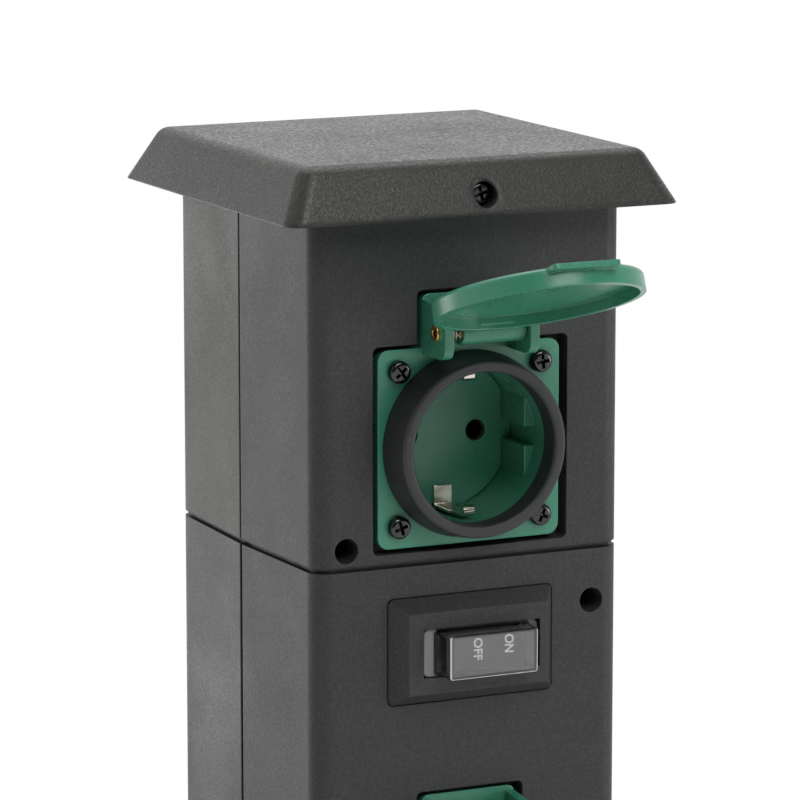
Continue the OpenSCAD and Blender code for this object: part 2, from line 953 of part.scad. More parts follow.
module socket_screws(z) {
    color(screw_black)
        on_front(z)
            at_flange_screws()
                translate([0, 0, -flange_sink])
                    screw(flange_screw, flange_t + gasket_t + recess_floor + flange_grip);
}

// Carrier that holds the two contact sleeves behind the plate
module contact_carrier(z) {
    color([0.85, 0.85, 0.80])
        on_front(z)
            translate([0, 0, floor_back - carrier_d])
                difference() {
                    translate([-carrier_w / 2, -carrier_h / 2, 0])
                        cube([carrier_w, carrier_h, carrier_d]);
                    for (sx = [-1, 1])
                        translate([sx * pin_pitch / 2, 0, -past])
                            cylinder(r = sleeve_r + screw_gap, h = carrier_d + 2 * past);
                }
}

// Contact sleeves for the plug's pins, each with a tag for its wire
module contact_sleeves(z) {
    color(brass)
        on_front(z)
            for (sx = [-1, 1])
                translate([sx * pin_pitch / 2, 0, contact_back]) {
                    difference() {
                        cylinder(r = sleeve_r, h = sleeve_front - contact_back);
                        translate([0, 0, 1])
                            cylinder(r = sleeve_bore_r, h = sleeve_front - contact_back);
                    }
                    block([-tag_w / 2, -tag_t / 2, -tag_l], [tag_w / 2, tag_t / 2, 0.5]);
                }
}

// Outline of one arm of the earth clip: tail, foot on the floor, arm and rounded nose
module clip_arm_plan() {
    nose_y = clip_y - nose_r;
    polygon(concat(
        [[clip_y, yoke_z - clip_t]],
        arc(nose_y, nose_z, nose_r, 0, 180),
        [[nose_y - nose_r, nose_z - nose_leg], [nose_y - nose_r + clip_t, nose_z - nose_leg]],
        arc(nose_y, nose_z, nose_r - clip_t, 180, 0),
        [[clip_y - clip_t, clip_t - cup_depth], [clip_foot, clip_t - cup_depth]],
        [[clip_foot, -cup_depth], [clip_y - clip_t, -cup_depth], [clip_y - clip_t, yoke_z - clip_t]]
    ));
}

// One arm of the earth clip, wide up to its neck and narrow at its nose
module clip_arm() {
    along_x(nose_w)
        clip_arm_plan();
    intersection() {
        along_x(clip_w)
            clip_arm_plan();
        block([-clip_w, 0, yoke_z - 2 * clip_t], [clip_w, cup_r, arm_neck]);
    }
}

// Earth clip: a sprung arm above and below, tied by a yoke behind the carrier
module earth_clip(z) {
    color(nickel)
        on_front(z) {
            clip_arm();
            mirror([0, 1, 0])
                clip_arm();
            block([-clip_w / 2, -clip_y, yoke_z - clip_t], [clip_w / 2, clip_y, yoke_z]);
        }
}

// Lid as it lies closed on its socket, with its hinge barrel and finger lip
module closed_lid() {
    inner_r = lid_r - lid_rim_t;
    web_y = inner_r - lid_drop - 0.5;
    low_y = -lid_r - lid_drop;
    difference() {
        union() {
            translate([lid_x, -lid_drop, 0])
                rotate_extrude($fn = 96)
                    polygon(concat(
                        [[0, lid_inner_out], [inner_r, lid_inner_out]],
                        [[inner_r, lid_rim_out], [lid_r, lid_rim_out]],
                        arc(lid_r - lid_round, lid_outer_out - lid_round, lid_round, 0, 90, 6),
                        [[0, lid_outer_out]]
                    ));
            hinge_bar(barrel_r, barrel_x0, barrel_x1);
            block([barrel_x0, web_y, hinge_out], [barrel_x1, hinge_rise, hinge_out + barrel_r]);
            translate([lid_x, low_y + (lip_in - lip_out) / 2, lid_outer_out - lip_t])
                linear_extrude(lip_t)
                    polygon(rounded_rect(lip_w, lip_in + lip_out, lip_r));
        }
        hinge_bar(hinge_pin_r + pin_run_gap, barrel_x0 - past, barrel_x1 + past);
        for (sx = [-1, 1])
            let (x0 = min(sx * ear_in, sx * (ear_in + ear_t)))
                hinge_bar(ear_sweep + move_gap, x0 - move_gap, x0 + ear_t + move_gap);
    }
}

// Lid of the socket at height z, turned open by the given angle
module socket_lid(z, open) {
    color(socket_green)
        on_front(z)
            translate([0, hinge_rise, hinge_out])
                rotate([-open, 0, 0])
                    translate([0, -hinge_rise, -hinge_out])
                        closed_lid();
}

// Hollow hinge pin, flared over both ears
module hinge_pin(z) {
    end_x = ear_in + ear_t + flare_t;
    color(brass)
        on_front(z)
            difference() {
                union() {
                    hinge_bar(hinge_pin_r, -end_x, end_x);
                    hinge_bar(flare_r, -end_x, flare_t - end_x);
                    hinge_bar(flare_r, end_x - flare_t, end_x);
                }
                hinge_bar(pin_bore_r, -end_x - past, end_x + past);
            }
}

// Path of the hinge spring about the hinge axis: leg on the tab, coils, short free leg
spring_steps = spring_turns * spring_rings;
spring_end_x = spring_x0 + spring_pitch * spring_turns;
spring_path = concat(
    [for (s = [1, 0.5]) [spring_x0, spring_coil_r, -s * spring_leg]],
    [
        for (i = [0:spring_steps])
            let (turn = i / spring_rings)
            [spring_x0 + spring_pitch * turn,
                spring_coil_r * cos(360 * turn), spring_coil_r * sin(360 * turn)]
    ],
    [[spring_end_x, -spring_free_leg, spring_coil_r]]
);
// Least distance between stretches of the wire at least half a turn apart, less its thickness
spring_gap = min([
    for (i = [0:len(spring_path) - 1], j = [0:len(spring_path) - 1])
        if (j - i >= spring_rings / 2) norm(spring_path[i] - spring_path[j]) - 2 * spring_wire_r
]);
echo(hinge_spring_least_gap = spring_gap);

module hinge_spring(z) {
    color(nickel)
        on_front(z)
            translate([0, hinge_rise, hinge_out])
                tube(spring_path, spring_wire_r, spring_sides);
}

module upper_socket_body() {
    socket_body(upper_socket_z);
}

module upper_socket_gasket() {
    socket_gasket(upper_socket_z);
}

module upper_seal_ring() {
    seal_ring(upper_socket_z);
}

module upper_socket_screws() {
    socket_screws(upper_socket_z);
}

module upper_contact_plate() {
    contact_plate(upper_socket_z);
}

module upper_contact_carrier() {
    contact_carrier(upper_socket_z);
}

module upper_contact_sleeves() {
    contact_sleeves(upper_socket_z);
}

module upper_earth_clip() {
    earth_clip(upper_socket_z);
}

module upper_lid() {
    socket_lid(upper_socket_z, upper_lid_open);
}

module upper_hinge_pin() {
    hinge_pin(upper_socket_z);
}

module upper_hinge_spring() {
    hinge_spring(upper_socket_z);
}

module lower_socket_body() {
    socket_body(lower_socket_z);
}

module lower_socket_gasket() {
    socket_gasket(lower_socket_z);
}

module lower_seal_ring() {
    seal_ring(lower_socket_z);
}

module lower_socket_screws() {
    socket_screws(lower_socket_z);
}

module lower_contact_plate() {
    contact_plate(lower_socket_z);
}

module lower_contact_carrier() {
    contact_carrier(lower_socket_z);
}

module lower_contact_sleeves() {
    contact_sleeves(lower_socket_z);
}

module lower_earth_clip() {
    earth_clip(lower_socket_z);
}

module lower_lid() {
    socket_lid(lower_socket_z, lower_lid_open);
}

module lower_hinge_pin() {
    hinge_pin(lower_socket_z);
}

module lower_hinge_spring() {
    hinge_spring(lower_socket_z);
}

// Rectangular slab about the switch's middle between two distances from the front face
module switch_slab(w, h, out0, out1) {
    translate([-w / 2, -h / 2, out0])
        cube([w, h, out1 - out0]);
}

// Frame at the switch's middle, a little to the right of the bezel's
module on_switch() {
    on_front(switch_z)
        translate([switch_x, 0, 0])
            children();
}

// Bezel: frame with four sloped sides, held from behind by a lip and open for the switch
module switch_bezel() {
    half_w = bezel_w / 2;
    half_h = bezel_h / 2;
    color(anthracite)
        on_front(switch_z)
            difference() {
                union() {
                    intersection() {
                        rotate([90, 0, 0])
                            linear_extrude(bezel_h, center = true)
                                polygon([[-half_w, -wall], [half_w, -wall],
                                    [half_w, 0], [half_w - bezel_slope_x, bezel_out],
                                    [bezel_slope_x - half_w, bezel_out], [-half_w, 0]]);
                        along_x(bezel_w)
                            polygon([[-half_h, -wall], [half_h, -wall],
                                [half_h, 0], [half_h - bezel_slope_z, bezel_out],
                                [bezel_slope_z - half_h, bezel_out], [-half_h, 0]]);
                        translate([0, 0, -wall])
                            linear_extrude(wall + bezel_out)
                                bezel_plan(0);
                    }
                    switch_slab(bezel_w + 2 * bezel_lip, bezel_h + 2 * bezel_lip,
                        -wall - bezel_lip_t, -wall);
                }
                translate([switch_x, 0, 0]) {
                    switch_slab(cover_rim_w + 2 * fit_gap, cover_rim_h + 2 * fit_gap,
                        switch_rim_out - switch_rim_t, bezel_out + past);
                    switch_slab(switch_w + 2 * fit_gap, switch_h + 2 * fit_gap,
                        -wall - bezel_lip_t - past, bezel_out);
                }
            }
}

// Box whose short sides lean in from its base to its front face
module leaning_box(base_w, front_w, h, out0, out1) {
    rotate([90, 0, 0])
        linear_extrude(h, center = true)
            polygon([[-base_w / 2, out0], [base_w / 2, out0], [front_w / 2, out1], [-front_w / 2, out1]]);
}

// Clear cover: thin box over the rocker with a rim that lies in the bezel
module switch_cover() {
    room_w = cover_base_w - 2 * cover_wall;
    color(clear)
        on_switch()
            difference() {
                union() {
                    switch_slab(cover_rim_w, cover_rim_h, switch_rim_out, cover_rim_out);
                    leaning_box(cover_base_w, cover_w, cover_h, switch_rim_out, cover_out);
                }
                leaning_box(room_w, cover_w - 2 * cover_wall, cover_h - 2 * cover_wall,
                    switch_rim_out, cover_out - cover_wall);
                switch_slab(room_w, cover_h - 2 * cover_wall,
                    switch_rim_out - past, switch_rim_out + fit_gap);
            }
}

// Switch body: rim on the bezel's ledge, walls that carry the rocker's pivots, closed well behind
module switch_body() {
    color(screw_black)
        on_switch()
            difference() {
                union() {
                    switch_slab(cover_rim_w, cover_rim_h, switch_rim_out - switch_rim_t, switch_rim_out);
                    switch_slab(switch_w, switch_h, switch_back, switch_rim_out);
                }
                switch_slab(cover_w - 2 * cover_wall, switch_h - 2 * switch_wall,
                    rocker_well, switch_rim_out + past);
                translate([0, 0, pivot_out])
                    rotate([90, 0, 0])
                        cylinder(r = pivot_r + pin_run_gap, h = switch_h + 2 * cover_rim_t, center = true);
            }
}

module switch_terminals() {
    color(brass)
        on_front(switch_z)
            for (x = blade_x)
                block([x - blade_t / 2, -blade_w / 2, switch_back - blade_l],
                    [x + blade_t / 2, blade_w / 2, switch_back]);
}

// Rocker: two faces that meet in a shallow valley, a hub and two pivot studs, pressed at its left
module rocker() {
    color(screw_black)
        on_switch()
            translate([0, 0, pivot_out])
                rotate([0, -rocker_tilt, 0]) {
                    rotate([90, 0, 0])
                        linear_extrude(2 * rocker_half_h, center = true)
                            polygon([[-rocker_half, rocker_skirt], [-rocker_hub, -rocker_hub],
                                [rocker_hub, -rocker_hub], [rocker_half, rocker_skirt],
                                [rocker_half, rocker_end], [0, rocker_mid], [-rocker_half, rocker_end]]);
                    rotate([90, 0, 0])
                        cylinder(r = pivot_r, h = switch_h, center = true);
                }
}

// Hexagonal prism along +Y across the gland's axis
module gland_hex(y0, y1) {
    translate([0, y0, gland_rise])
        rotate([-90, 0, 0])
            cylinder(r = gland_hex_r, h = y1 - y0, $fn = 6);
}

// Gland body: thread through the wall, hexagon outside and a neck for the nut
module gland_body() {
    neck_y = rear_y + gland_hex_t;
    color(rubber_black)
        difference() {
            union() {
                bar_y(0, gland_rise, gland_thread_r, rear_y - wall - gland_inside, rear_y + past);
                gland_hex(rear_y, neck_y);
                bar_y(0, gland_rise, gland_neck_r, neck_y - past, neck_y + gland_neck_l);
            }
            bar_y(0, gland_rise, gland_inner_r,
                rear_y - wall - gland_inside - past, neck_y + gland_neck_l + past);
            bar_y(0, gland_rise, gland_seal_r + fit_gap, gland_seal_y, neck_y + gland_neck_l + past);
        }
}

// Dome nut that squeezes the seal
module gland_nut() {
    y0 = rear_y + gland_hex_t + 0.5;
    y1 = y0 + gland_nut_l;
    round_r = 3;
    color(rubber_black)
        translate([0, y0, gland_rise])
            rotate([-90, 0, 0])
                difference() {
                    rotate_extrude()
                        polygon(concat([[0, 0], [gland_nut_r, 0]],
                            arc(gland_nut_r - round_r, gland_nut_l - round_r, round_r, 0, 90),
                            [[0, gland_nut_l]]));
                    translate([0, 0, -past])
                        cylinder(r = gland_neck_r + screw_gap, h = gland_neck_l + 0.5 + past);
                    translate([0, 0, -past])
                        cylinder(r = gland_seal_r + fit_gap, h = gland_seal_y + gland_seal_l - y0 + past);
                    cylinder(r = gland_bore_r + 0.6, h = y1);
                }
}

module gland_seal() {
    color([0.15, 0.15, 0.15])
        difference() {
            bar_y(0, gland_rise, gland_seal_r, gland_seal_y, gland_seal_y + gland_seal_l);
            bar_y(0, gland_rise, gland_bore_r, gland_seal_y - past, gland_seal_y + gland_seal_l + past);
        }
}

module gland_locknut() {
    color(rubber_black)
        difference() {
            gland_hex(rear_y - wall - gland_locknut_t, rear_y - wall);
            bar_y(0, gland_rise, gland_thread_r + screw_gap,
                rear_y - wall - gland_locknut_t - past, rear_y);
        }
}

// Terminal block on the rear wall: five poles with a wire hole through each and a screw in front
module terminal_block() {
    color([0.90, 0.89, 0.84])
        difference() {
            block([-block_w / 2, block_y, block_z - block_h / 2],
                [block_w / 2, block_y + block_d, block_top]);
            for (p = poles) {
                translate([p * pole_pitch, wire_y, block_z - block_h / 2 - past])
                    cylinder(r = pole_hole_r, h = block_h + 2 * past);
                bar_y(p * pole_pitch, block_z, block_screw[0] + 0.3, block_y - past, wire_y);
            }
        }
}

module terminal_screws() {
    screw_l = block_d / 2 - pole_hole_r - 0.5;
    color(nickel)
        for (p = poles)
            bar_y(p * pole_pitch, block_z, block_screw[0], block_y + 1, block_y + 1 + screw_l);
}

// Wire from pole p of the block, up the post at depth run_y, then forward to the point at x, y and z
module wire_up(p, run_y, x, y, z) {
    px = p * pole_pitch;
    tube([
        [px, wire_y, block_top - bend / 2], [px, wire_y, block_top + bend / 2],
        [px, run_y + bend, block_top + 2 * bend], [(px + x) / 2, run_y, (block_top + z) / 2 + bend],
        [x, run_y, z - bend], [x, run_y - bend / 2, z], [x, y, z]
    ], wire_r, wire_sides);
}

// Wire from pole p of the block straight forward to the lower socket
module wire_to_lower(p, run_y, x, y) {
    px = p * pole_pitch;
    turn_z = max(block_top + bend, lower_socket_z);
    tube([
        [px, wire_y, block_top - bend / 2], [px, wire_y, block_top + bend / 2],
        [(px + x) / 2, run_y + bend, turn_z], [x, run_y, lower_socket_z], [x, y, lower_socket_z]
    ], wire_r, wire_sides);
}

// Live: block to switch, switch to the upper contact, switch to the lower contact
module wire_live() {
    color([0.45, 0.26, 0.15]) {
        wire_up(-2, live_y, blade_x[0], blade_y, switch_z);
        tube([
            [blade_x[2], blade_y, switch_z], [blade_x[2], blade_y + bend, switch_z],
            [contact_x, live_y + bend, switch_z + 2 * bend],
            [contact_x, live_y + bend, upper_socket_z - bend],
            [contact_x, live_y, upper_socket_z], [contact_x, tag_y, upper_socket_z]
        ], wire_r, wire_sides);
        tube([
            [blade_x[1], blade_y, switch_z], [blade_x[1], blade_y + bend, switch_z],
            [contact_x, live_y, switch_z - 3 * bend], [contact_x, live_y, lower_socket_z + bend],
            [contact_x, (live_y + tag_y) / 2, lower_socket_z], [contact_x, tag_y, lower_socket_z]
        ], wire_r, wire_sides);
    }
}

module wire_neutral() {
    color([0.20, 0.35, 0.65]) {
        wire_up(-1, neutral_y, -contact_x, tag_y, upper_socket_z);
        wire_to_lower(0, neutral_y, -contact_x, tag_y);
    }
}

module wire_earth() {
    color([0.45, 0.65, 0.20]) {
        wire_up(2, earth_y, 0, yoke_y, upper_socket_z);
        wire_to_lower(1, earth_y, 0, yoke_y);
    }
}

foot();
foot_screws();
lower_front_shell();
lower_rear_shell();
lower_shell_screws();
upper_front_shell();
upper_rear_shell();
upper_shell_screws();
cap();
cap_screws();
upper_socket_body();
upper_socket_gasket();
upper_seal_ring();
upper_socket_screws();
upper_contact_plate();
upper_contact_carrier();
upper_contact_sleeves();
upper_earth_clip();
upper_lid();
upper_hinge_pin();
upper_hinge_spring();
lower_socket_body();
lower_socket_gasket();
lower_seal_ring();
lower_socket_screws();
lower_contact_plate();
lower_contact_carrier();
lower_contact_sleeves();
lower_earth_clip();
lower_lid();
lower_hinge_pin();
lower_hinge_spring();
switch_bezel();
switch_cover();
switch_body();
switch_terminals();
rocker();
gland_body();
gland_nut();
gland_seal();
gland_locknut();
terminal_block();
terminal_screws();
wire_live();
wire_neutral();
wire_earth();
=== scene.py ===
from math import cos, pi, radians, sin

import bmesh
import bpy
from mathutils import Matrix, Vector
from mathutils.bvhtree import BVHTree


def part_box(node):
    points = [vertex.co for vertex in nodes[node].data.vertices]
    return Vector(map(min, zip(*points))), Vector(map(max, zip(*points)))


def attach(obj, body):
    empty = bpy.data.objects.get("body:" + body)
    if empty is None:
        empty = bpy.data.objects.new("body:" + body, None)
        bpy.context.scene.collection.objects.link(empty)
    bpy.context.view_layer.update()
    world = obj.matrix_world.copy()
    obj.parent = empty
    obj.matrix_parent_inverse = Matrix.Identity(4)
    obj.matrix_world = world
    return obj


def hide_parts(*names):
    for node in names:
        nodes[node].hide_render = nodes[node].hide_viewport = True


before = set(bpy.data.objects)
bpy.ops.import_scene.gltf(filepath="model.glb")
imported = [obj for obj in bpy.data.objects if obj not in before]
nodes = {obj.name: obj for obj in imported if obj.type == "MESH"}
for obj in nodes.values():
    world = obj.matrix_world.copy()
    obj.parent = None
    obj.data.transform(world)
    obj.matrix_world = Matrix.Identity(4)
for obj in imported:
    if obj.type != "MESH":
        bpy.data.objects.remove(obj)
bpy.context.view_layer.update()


# The camera stands left of the front and a little above the cap, as the photograph was taken:
# a long lens, so that the post's edges run almost parallel, aimed between cap and switch.
def place_object(name, data):
    made = bpy.data.objects.new(name, data)
    bpy.context.collection.objects.link(made)
    return made


def set_up(thing, stand, aim):
    thing.location = stand
    thing.rotation_euler = (Vector(aim) - Vector(stand)).to_track_quat("-Z", "Y").to_euler()


lens = bpy.data.cameras.new("photo_lens")
lens.lens = 209.0
lens.sensor_width = 36.0
lens.clip_start = 0.05
lens.clip_end = 50
camera = place_object("photo_camera", lens)
set_up(camera, stand=(-0.50129, -1.05848, 0.42629), aim=(-0.00843, -0.01985, 0.21816))
bpy.context.scene.camera = camera
bpy.context.scene.view_settings.view_transform = "Standard"


# The studio: a pale paper floor that keeps the post's shadow and fades to the white of the backdrop,
# a wide softbox behind on the left with a low strip in front of it, one softbox above, one over the
# camera, and a reflector low on the right.
def add_node(tree, kind, sockets=None, **settings):
    made = tree.nodes.new("ShaderNode" + kind)
    for name, value in settings.items():
        setattr(made, name, value)
    for name, value in (sockets or {}).items():
        if isinstance(value, bpy.types.NodeSocket):
            tree.links.new(value, made.inputs[name])
        else:
            made.inputs[name].default_value = value
    return made


def new_material(name):
    material = bpy.data.materials.new(name)
    material.use_nodes = True
    material.node_tree.nodes.clear()
    return material, material.node_tree


floor_half = 3.0
floor_mesh = bpy.data.meshes.new("studio_floor")
floor_shape = bmesh.new()
bmesh.ops.create_grid(floor_shape, x_segments=8, y_segments=8, size=floor_half)
floor_shape.to_mesh(floor_mesh)
floor_shape.free()
floor = place_object("studio_floor", floor_mesh)

shadow_reach, white_reach = 0.10, 0.24
paper, tree = new_material("studio_paper")
path = add_node(tree, "LightPath")
seen = add_node(tree, "Math", {0: path.outputs["Is Camera Ray"], 1: path.outputs["Is Glossy Ray"]},
                operation="MAXIMUM")
seen = add_node(tree, "Math", {0: seen.outputs[0], 1: path.outputs["Is Transmission Ray"]},
                operation="MAXIMUM")
place = add_node(tree, "TexCoord")
reach = add_node(tree, "VectorMath", {0: place.outputs["Object"]}, operation="LENGTH")
far = add_node(tree, "MapRange", {"Value": reach.outputs["Value"], "From Min": shadow_reach,
                                  "From Max": white_reach}, interpolation_type="SMOOTHSTEP")
white_out = add_node(tree, "Math", {0: seen.outputs[0], 1: far.outputs[0]}, operation="MULTIPLY")
matt = add_node(tree, "BsdfDiffuse", {"Color": (0.86, 0.86, 0.85, 1)})
glow = add_node(tree, "Emission", {"Color": (1, 1, 1, 1), "Strength": 1.0})
mixed = add_node(tree, "MixShader", {0: white_out.outputs[0], 1: matt.outputs[0], 2: glow.outputs[0]})
add_node(tree, "OutputMaterial", {"Surface": mixed.outputs[0]})
floor_mesh.materials.append(paper)

# The room is white behind the post and above it, and dimmer on the camera's side
world = bpy.data.worlds.new("studio_room")
bpy.context.scene.world = world
world.use_nodes = True
tree = world.node_tree
tree.nodes.clear()
path = add_node(tree, "LightPath")
place = add_node(tree, "TexCoord")
axes = add_node(tree, "SeparateXYZ", {0: place.outputs["Generated"]})
depth = add_node(tree, "MapRange", {"Value": axes.outputs["Y"], "From Min": -0.9, "From Max": 0.5,
                                    "To Min": 0.06, "To Max": 1.0}, interpolation_type="SMOOTHSTEP")
room = add_node(tree, "Background", {"Color": depth.outputs[0], "Strength": 0.75})
backdrop = add_node(tree, "Background", {"Color": (1, 1, 1, 1), "Strength": 1.0})
mirror = add_node(tree, "Background", {"Color": depth.outputs[0], "Strength": 1.0})
seen = add_node(tree, "Math", {0: path.outputs["Is Camera Ray"], 1: path.outputs["Is Transmission Ray"]},
                operation="MAXIMUM")
mixed = add_node(tree, "MixShader", {0: path.outputs["Is Glossy Ray"], 1: room.outputs[0],
                                     2: mirror.outputs[0]})
mixed = add_node(tree, "MixShader", {0: seen.outputs[0], 1: mixed.outputs[0], 2: backdrop.outputs[0]})
add_node(tree, "OutputWorld", {"Surface": mixed.outputs[0]})


def add_softbox(name, stand, aim, size, watts):
    lamp = bpy.data.lights.new(name, "AREA")
    lamp.shape = "RECTANGLE"
    lamp.size, lamp.size_y = size
    lamp.energy = watts
    set_up(place_object(name, lamp), stand, aim)


add_softbox("left_softbox", stand=(-0.7, 1.3, 0.2), aim=(0, 0, 0.08), size=(1.2, 0.36), watts=3.5)
add_softbox("top_softbox", stand=(0.1, 0.3, 1.4), aim=(0, 0, 0.2), size=(1.0, 1.0), watts=8)
add_softbox("front_softbox", stand=(0.1, -1.1, 1.2), aim=(0, 0, 0.2), size=(0.8, 0.8), watts=12)
add_softbox("right_reflector", stand=(1.0, -0.8, 0.1), aim=(0, 0, 0.14), size=(0.8, 0.5), watts=5.5)
add_softbox("low_left_strip", stand=(-0.25, 0.45, 0.03), aim=(-0.04, 0, 0.12), size=(0.55, 0.06), watts=0.23)

# The foot: a square plate with a raised spigot, moulded in one shot of anthracite polypropylene
# like the whole housing, with a fine eroded grain from the mould. The lower shells stand on it.
MM = 0.001  # the frame is in metres


def moulded_plastic(name, colour, rough, grain, depth, speck, edge_rub_and_highlight, edge, shine=0.5, gap_shade=0.35,
                    under_edge=0.0):
    # Grain is the width of the mould's pits, depth how deep they are and speck how far their tones differ.
    # How pale rubbed edges turn stands partly for wear and partly for a painted highlight, edge is their
    # radius, and gap_shade is the part of the colour left in narrow gaps, where shade is painted.
    gap_width = 1.6 * MM
    pits_per_metre = 0.62 / grain
    rubbed_smooth = -0.12
    skin, tree = new_material(name)
    place = add_node(tree, "TexCoord")
    pits = add_node(tree, "TexNoise", {"Vector": place.outputs["Object"], "Scale": pits_per_metre,
                                       "Detail": 3.0, "Roughness": 0.62})
    pit_spread = add_node(tree, "MapRange", {"Value": pits.outputs[0], "From Min": 0.42, "From Max": 0.70})
    flow = add_node(tree, "TexNoise", {"Vector": place.outputs["Object"], "Scale": 38.0, "Detail": 4.0,
                                       "Roughness": 0.6})
    flow_spread = add_node(tree, "MapRange", {"Value": flow.outputs[0], "From Min": 0.3, "From Max": 0.7})
    tone = add_node(tree, "Mix", {0: pit_spread.outputs[0],
                                  6: (*[part * (1 - 0.3 * speck) for part in colour], 1),
                                  7: (*[part * (1 + speck) for part in colour], 1)}, data_type="RGBA")
    patch = add_node(tree, "MapRange", {"Value": flow_spread.outputs[0], "To Min": 0.97, "To Max": 1.03})
    # Painted shade: the colour darkens in narrow gaps, creases and recesses, where ambient occlusion finds
    # other surfaces close by
    hollow = add_node(tree, "AmbientOcclusion", {"Distance": gap_width}, samples=6)
    open_air = add_node(tree, "MapRange", {"Value": hollow.outputs["AO"], "From Min": 0.15, "From Max": 0.75})
    shade = add_node(tree, "MapRange", {"Value": open_air.outputs[0], "To Min": gap_shade, "To Max": 1.0})
    shade = add_node(tree, "Math", {0: shade.outputs[0], 1: patch.outputs[0]}, operation="MULTIPLY")
    tone = add_node(tree, "VectorMath", {0: tone.outputs[2], "Scale": shade.outputs[0]}, operation="SCALE")
    bent = add_node(tree, "Bevel", {"Radius": edge}, samples=8).outputs[0]
    face = add_node(tree, "NewGeometry")
    if under_edge:
        # Edges that turn towards the ground on the left and right are sharper than the others
        crisp = add_node(tree, "Bevel", {"Radius": under_edge}, samples=8)
        tilt = add_node(tree, "SeparateXYZ", {0: bent})
        under = add_node(tree, "MapRange", {"Value": tilt.outputs["Z"], "From Min": 0.44, "From Max": 0.30})
        facing = add_node(tree, "SeparateXYZ", {0: face.outputs["Normal"]})
        aside = add_node(tree, "Math", {0: facing.outputs["X"]}, operation="ABSOLUTE")
        aside = add_node(tree, "MapRange", {"Value": aside.outputs[0], "From Min": 0.3, "From Max": 0.8})
        under = add_node(tree, "Math", {0: under.outputs[0], 1: aside.outputs[0]}, operation="MULTIPLY")
        bent = add_node(tree, "Mix", {0: under.outputs[0], 4: bent, 5: crisp.outputs[0]},
                        data_type="VECTOR").outputs[1]
    along = add_node(tree, "VectorMath", {0: bent, 1: face.outputs["Normal"]}, operation="DOT_PRODUCT")
    # Open convex edges turn paler: partly rubbing wear, partly a painted highlight along the edges
    ridge = add_node(tree, "MapRange", {"Value": along.outputs["Value"], "From Min": 0.985, "From Max": 0.85})
    edge_rub_and_highlight_mask = add_node(tree, "Math", {0: ridge.outputs[0], 1: open_air.outputs[0]}, operation="MULTIPLY")
    edge_rub_and_highlight_mask = add_node(tree, "Math", {0: edge_rub_and_highlight_mask.outputs[0], 1: flow_spread.outputs[0]}, operation="MULTIPLY")
    rub_and_highlight_mix = add_node(tree, "Math", {0: edge_rub_and_highlight_mask.outputs[0], 1: edge_rub_and_highlight}, operation="MULTIPLY")
    rub_and_highlight_tone = [min(1.0, part * 1.8 + 0.02) for part in colour]
    tone = add_node(tree, "Mix", {0: rub_and_highlight_mix.outputs[0], 6: tone.outputs[0], 7: (*rub_and_highlight_tone, 1)}, data_type="RGBA")
    gloss = add_node(tree, "MapRange", {"Value": flow_spread.outputs[0], "To Min": rough - 0.05,
                                        "To Max": rough + 0.06})
    gloss = add_node(tree, "Math", {0: edge_rub_and_highlight_mask.outputs[0], 1: rubbed_smooth, 2: gloss.outputs[0]},
                     operation="MULTIPLY_ADD")
    gleam = add_node(tree, "MapRange", {"Value": pit_spread.outputs[0], "To Min": 0.1 * speck,
                                        "To Max": -0.22 * speck})
    gloss = add_node(tree, "Math", {0: gloss.outputs[0], 1: gleam.outputs[0]}, operation="ADD")
    bump = add_node(tree, "Bump", {"Height": pits.outputs[0], "Distance": depth, "Strength": 1.0,
                                   "Normal": bent})
    shader = add_node(tree, "BsdfPrincipled", {"Base Color": tone.outputs[2], "Roughness": gloss.outputs[0],
                                               "Normal": bump.outputs[0], "IOR": 1.49,
                                               "Specular IOR Level": shine})
    add_node(tree, "OutputMaterial", {"Surface": shader.outputs[0]})
    return skin


def finish_piece(piece, material, edge=0.0):
    # Curved faces shade smoothly up to the sharp edges, and where edge is given those are rounded as well
    piece.data.materials.clear()
    piece.data.materials.append(material)
    weld = piece.modifiers.new("weld", "WELD")
    weld.merge_threshold = 1e-6
    if edge:
        round_off = piece.modifiers.new("round_off", "BEVEL")
        round_off.width = edge
        round_off.segments = 2
        round_off.limit_method = "ANGLE"
        round_off.angle_limit = radians(35)
        round_off.loop_slide = False
        round_off.use_clamp_overlap = False
    else:
        crease = piece.modifiers.new("crease", "EDGE_SPLIT")
        crease.split_angle = radians(30)
        crease.use_edge_sharp = False
    smooth = piece.modifiers.new("smooth", "WEIGHTED_NORMAL")
    smooth.keep_sharp = False
    smooth.weight = 50


def finish_node(name, material, edge=0.0):
    finish_piece(nodes[name], material, edge)


# The housing's colour falls almost to black in narrow gaps and joints as painted shade, and its rubbed edges
# pale as wear and painted highlight
housing_finish_and_shade = dict(rough=0.46, grain=0.4 * MM, depth=0.065 * MM, speck=0.3, edge_rub_and_highlight=0.5, edge=0.5 * MM,
                      shine=0.25, gap_shade=0.05)
anthracite = moulded_plastic("anthracite_plastic", (0.034, 0.034, 0.0345), **housing_finish_and_shade)
finish_node("foot", anthracite, edge=0.5 * MM)


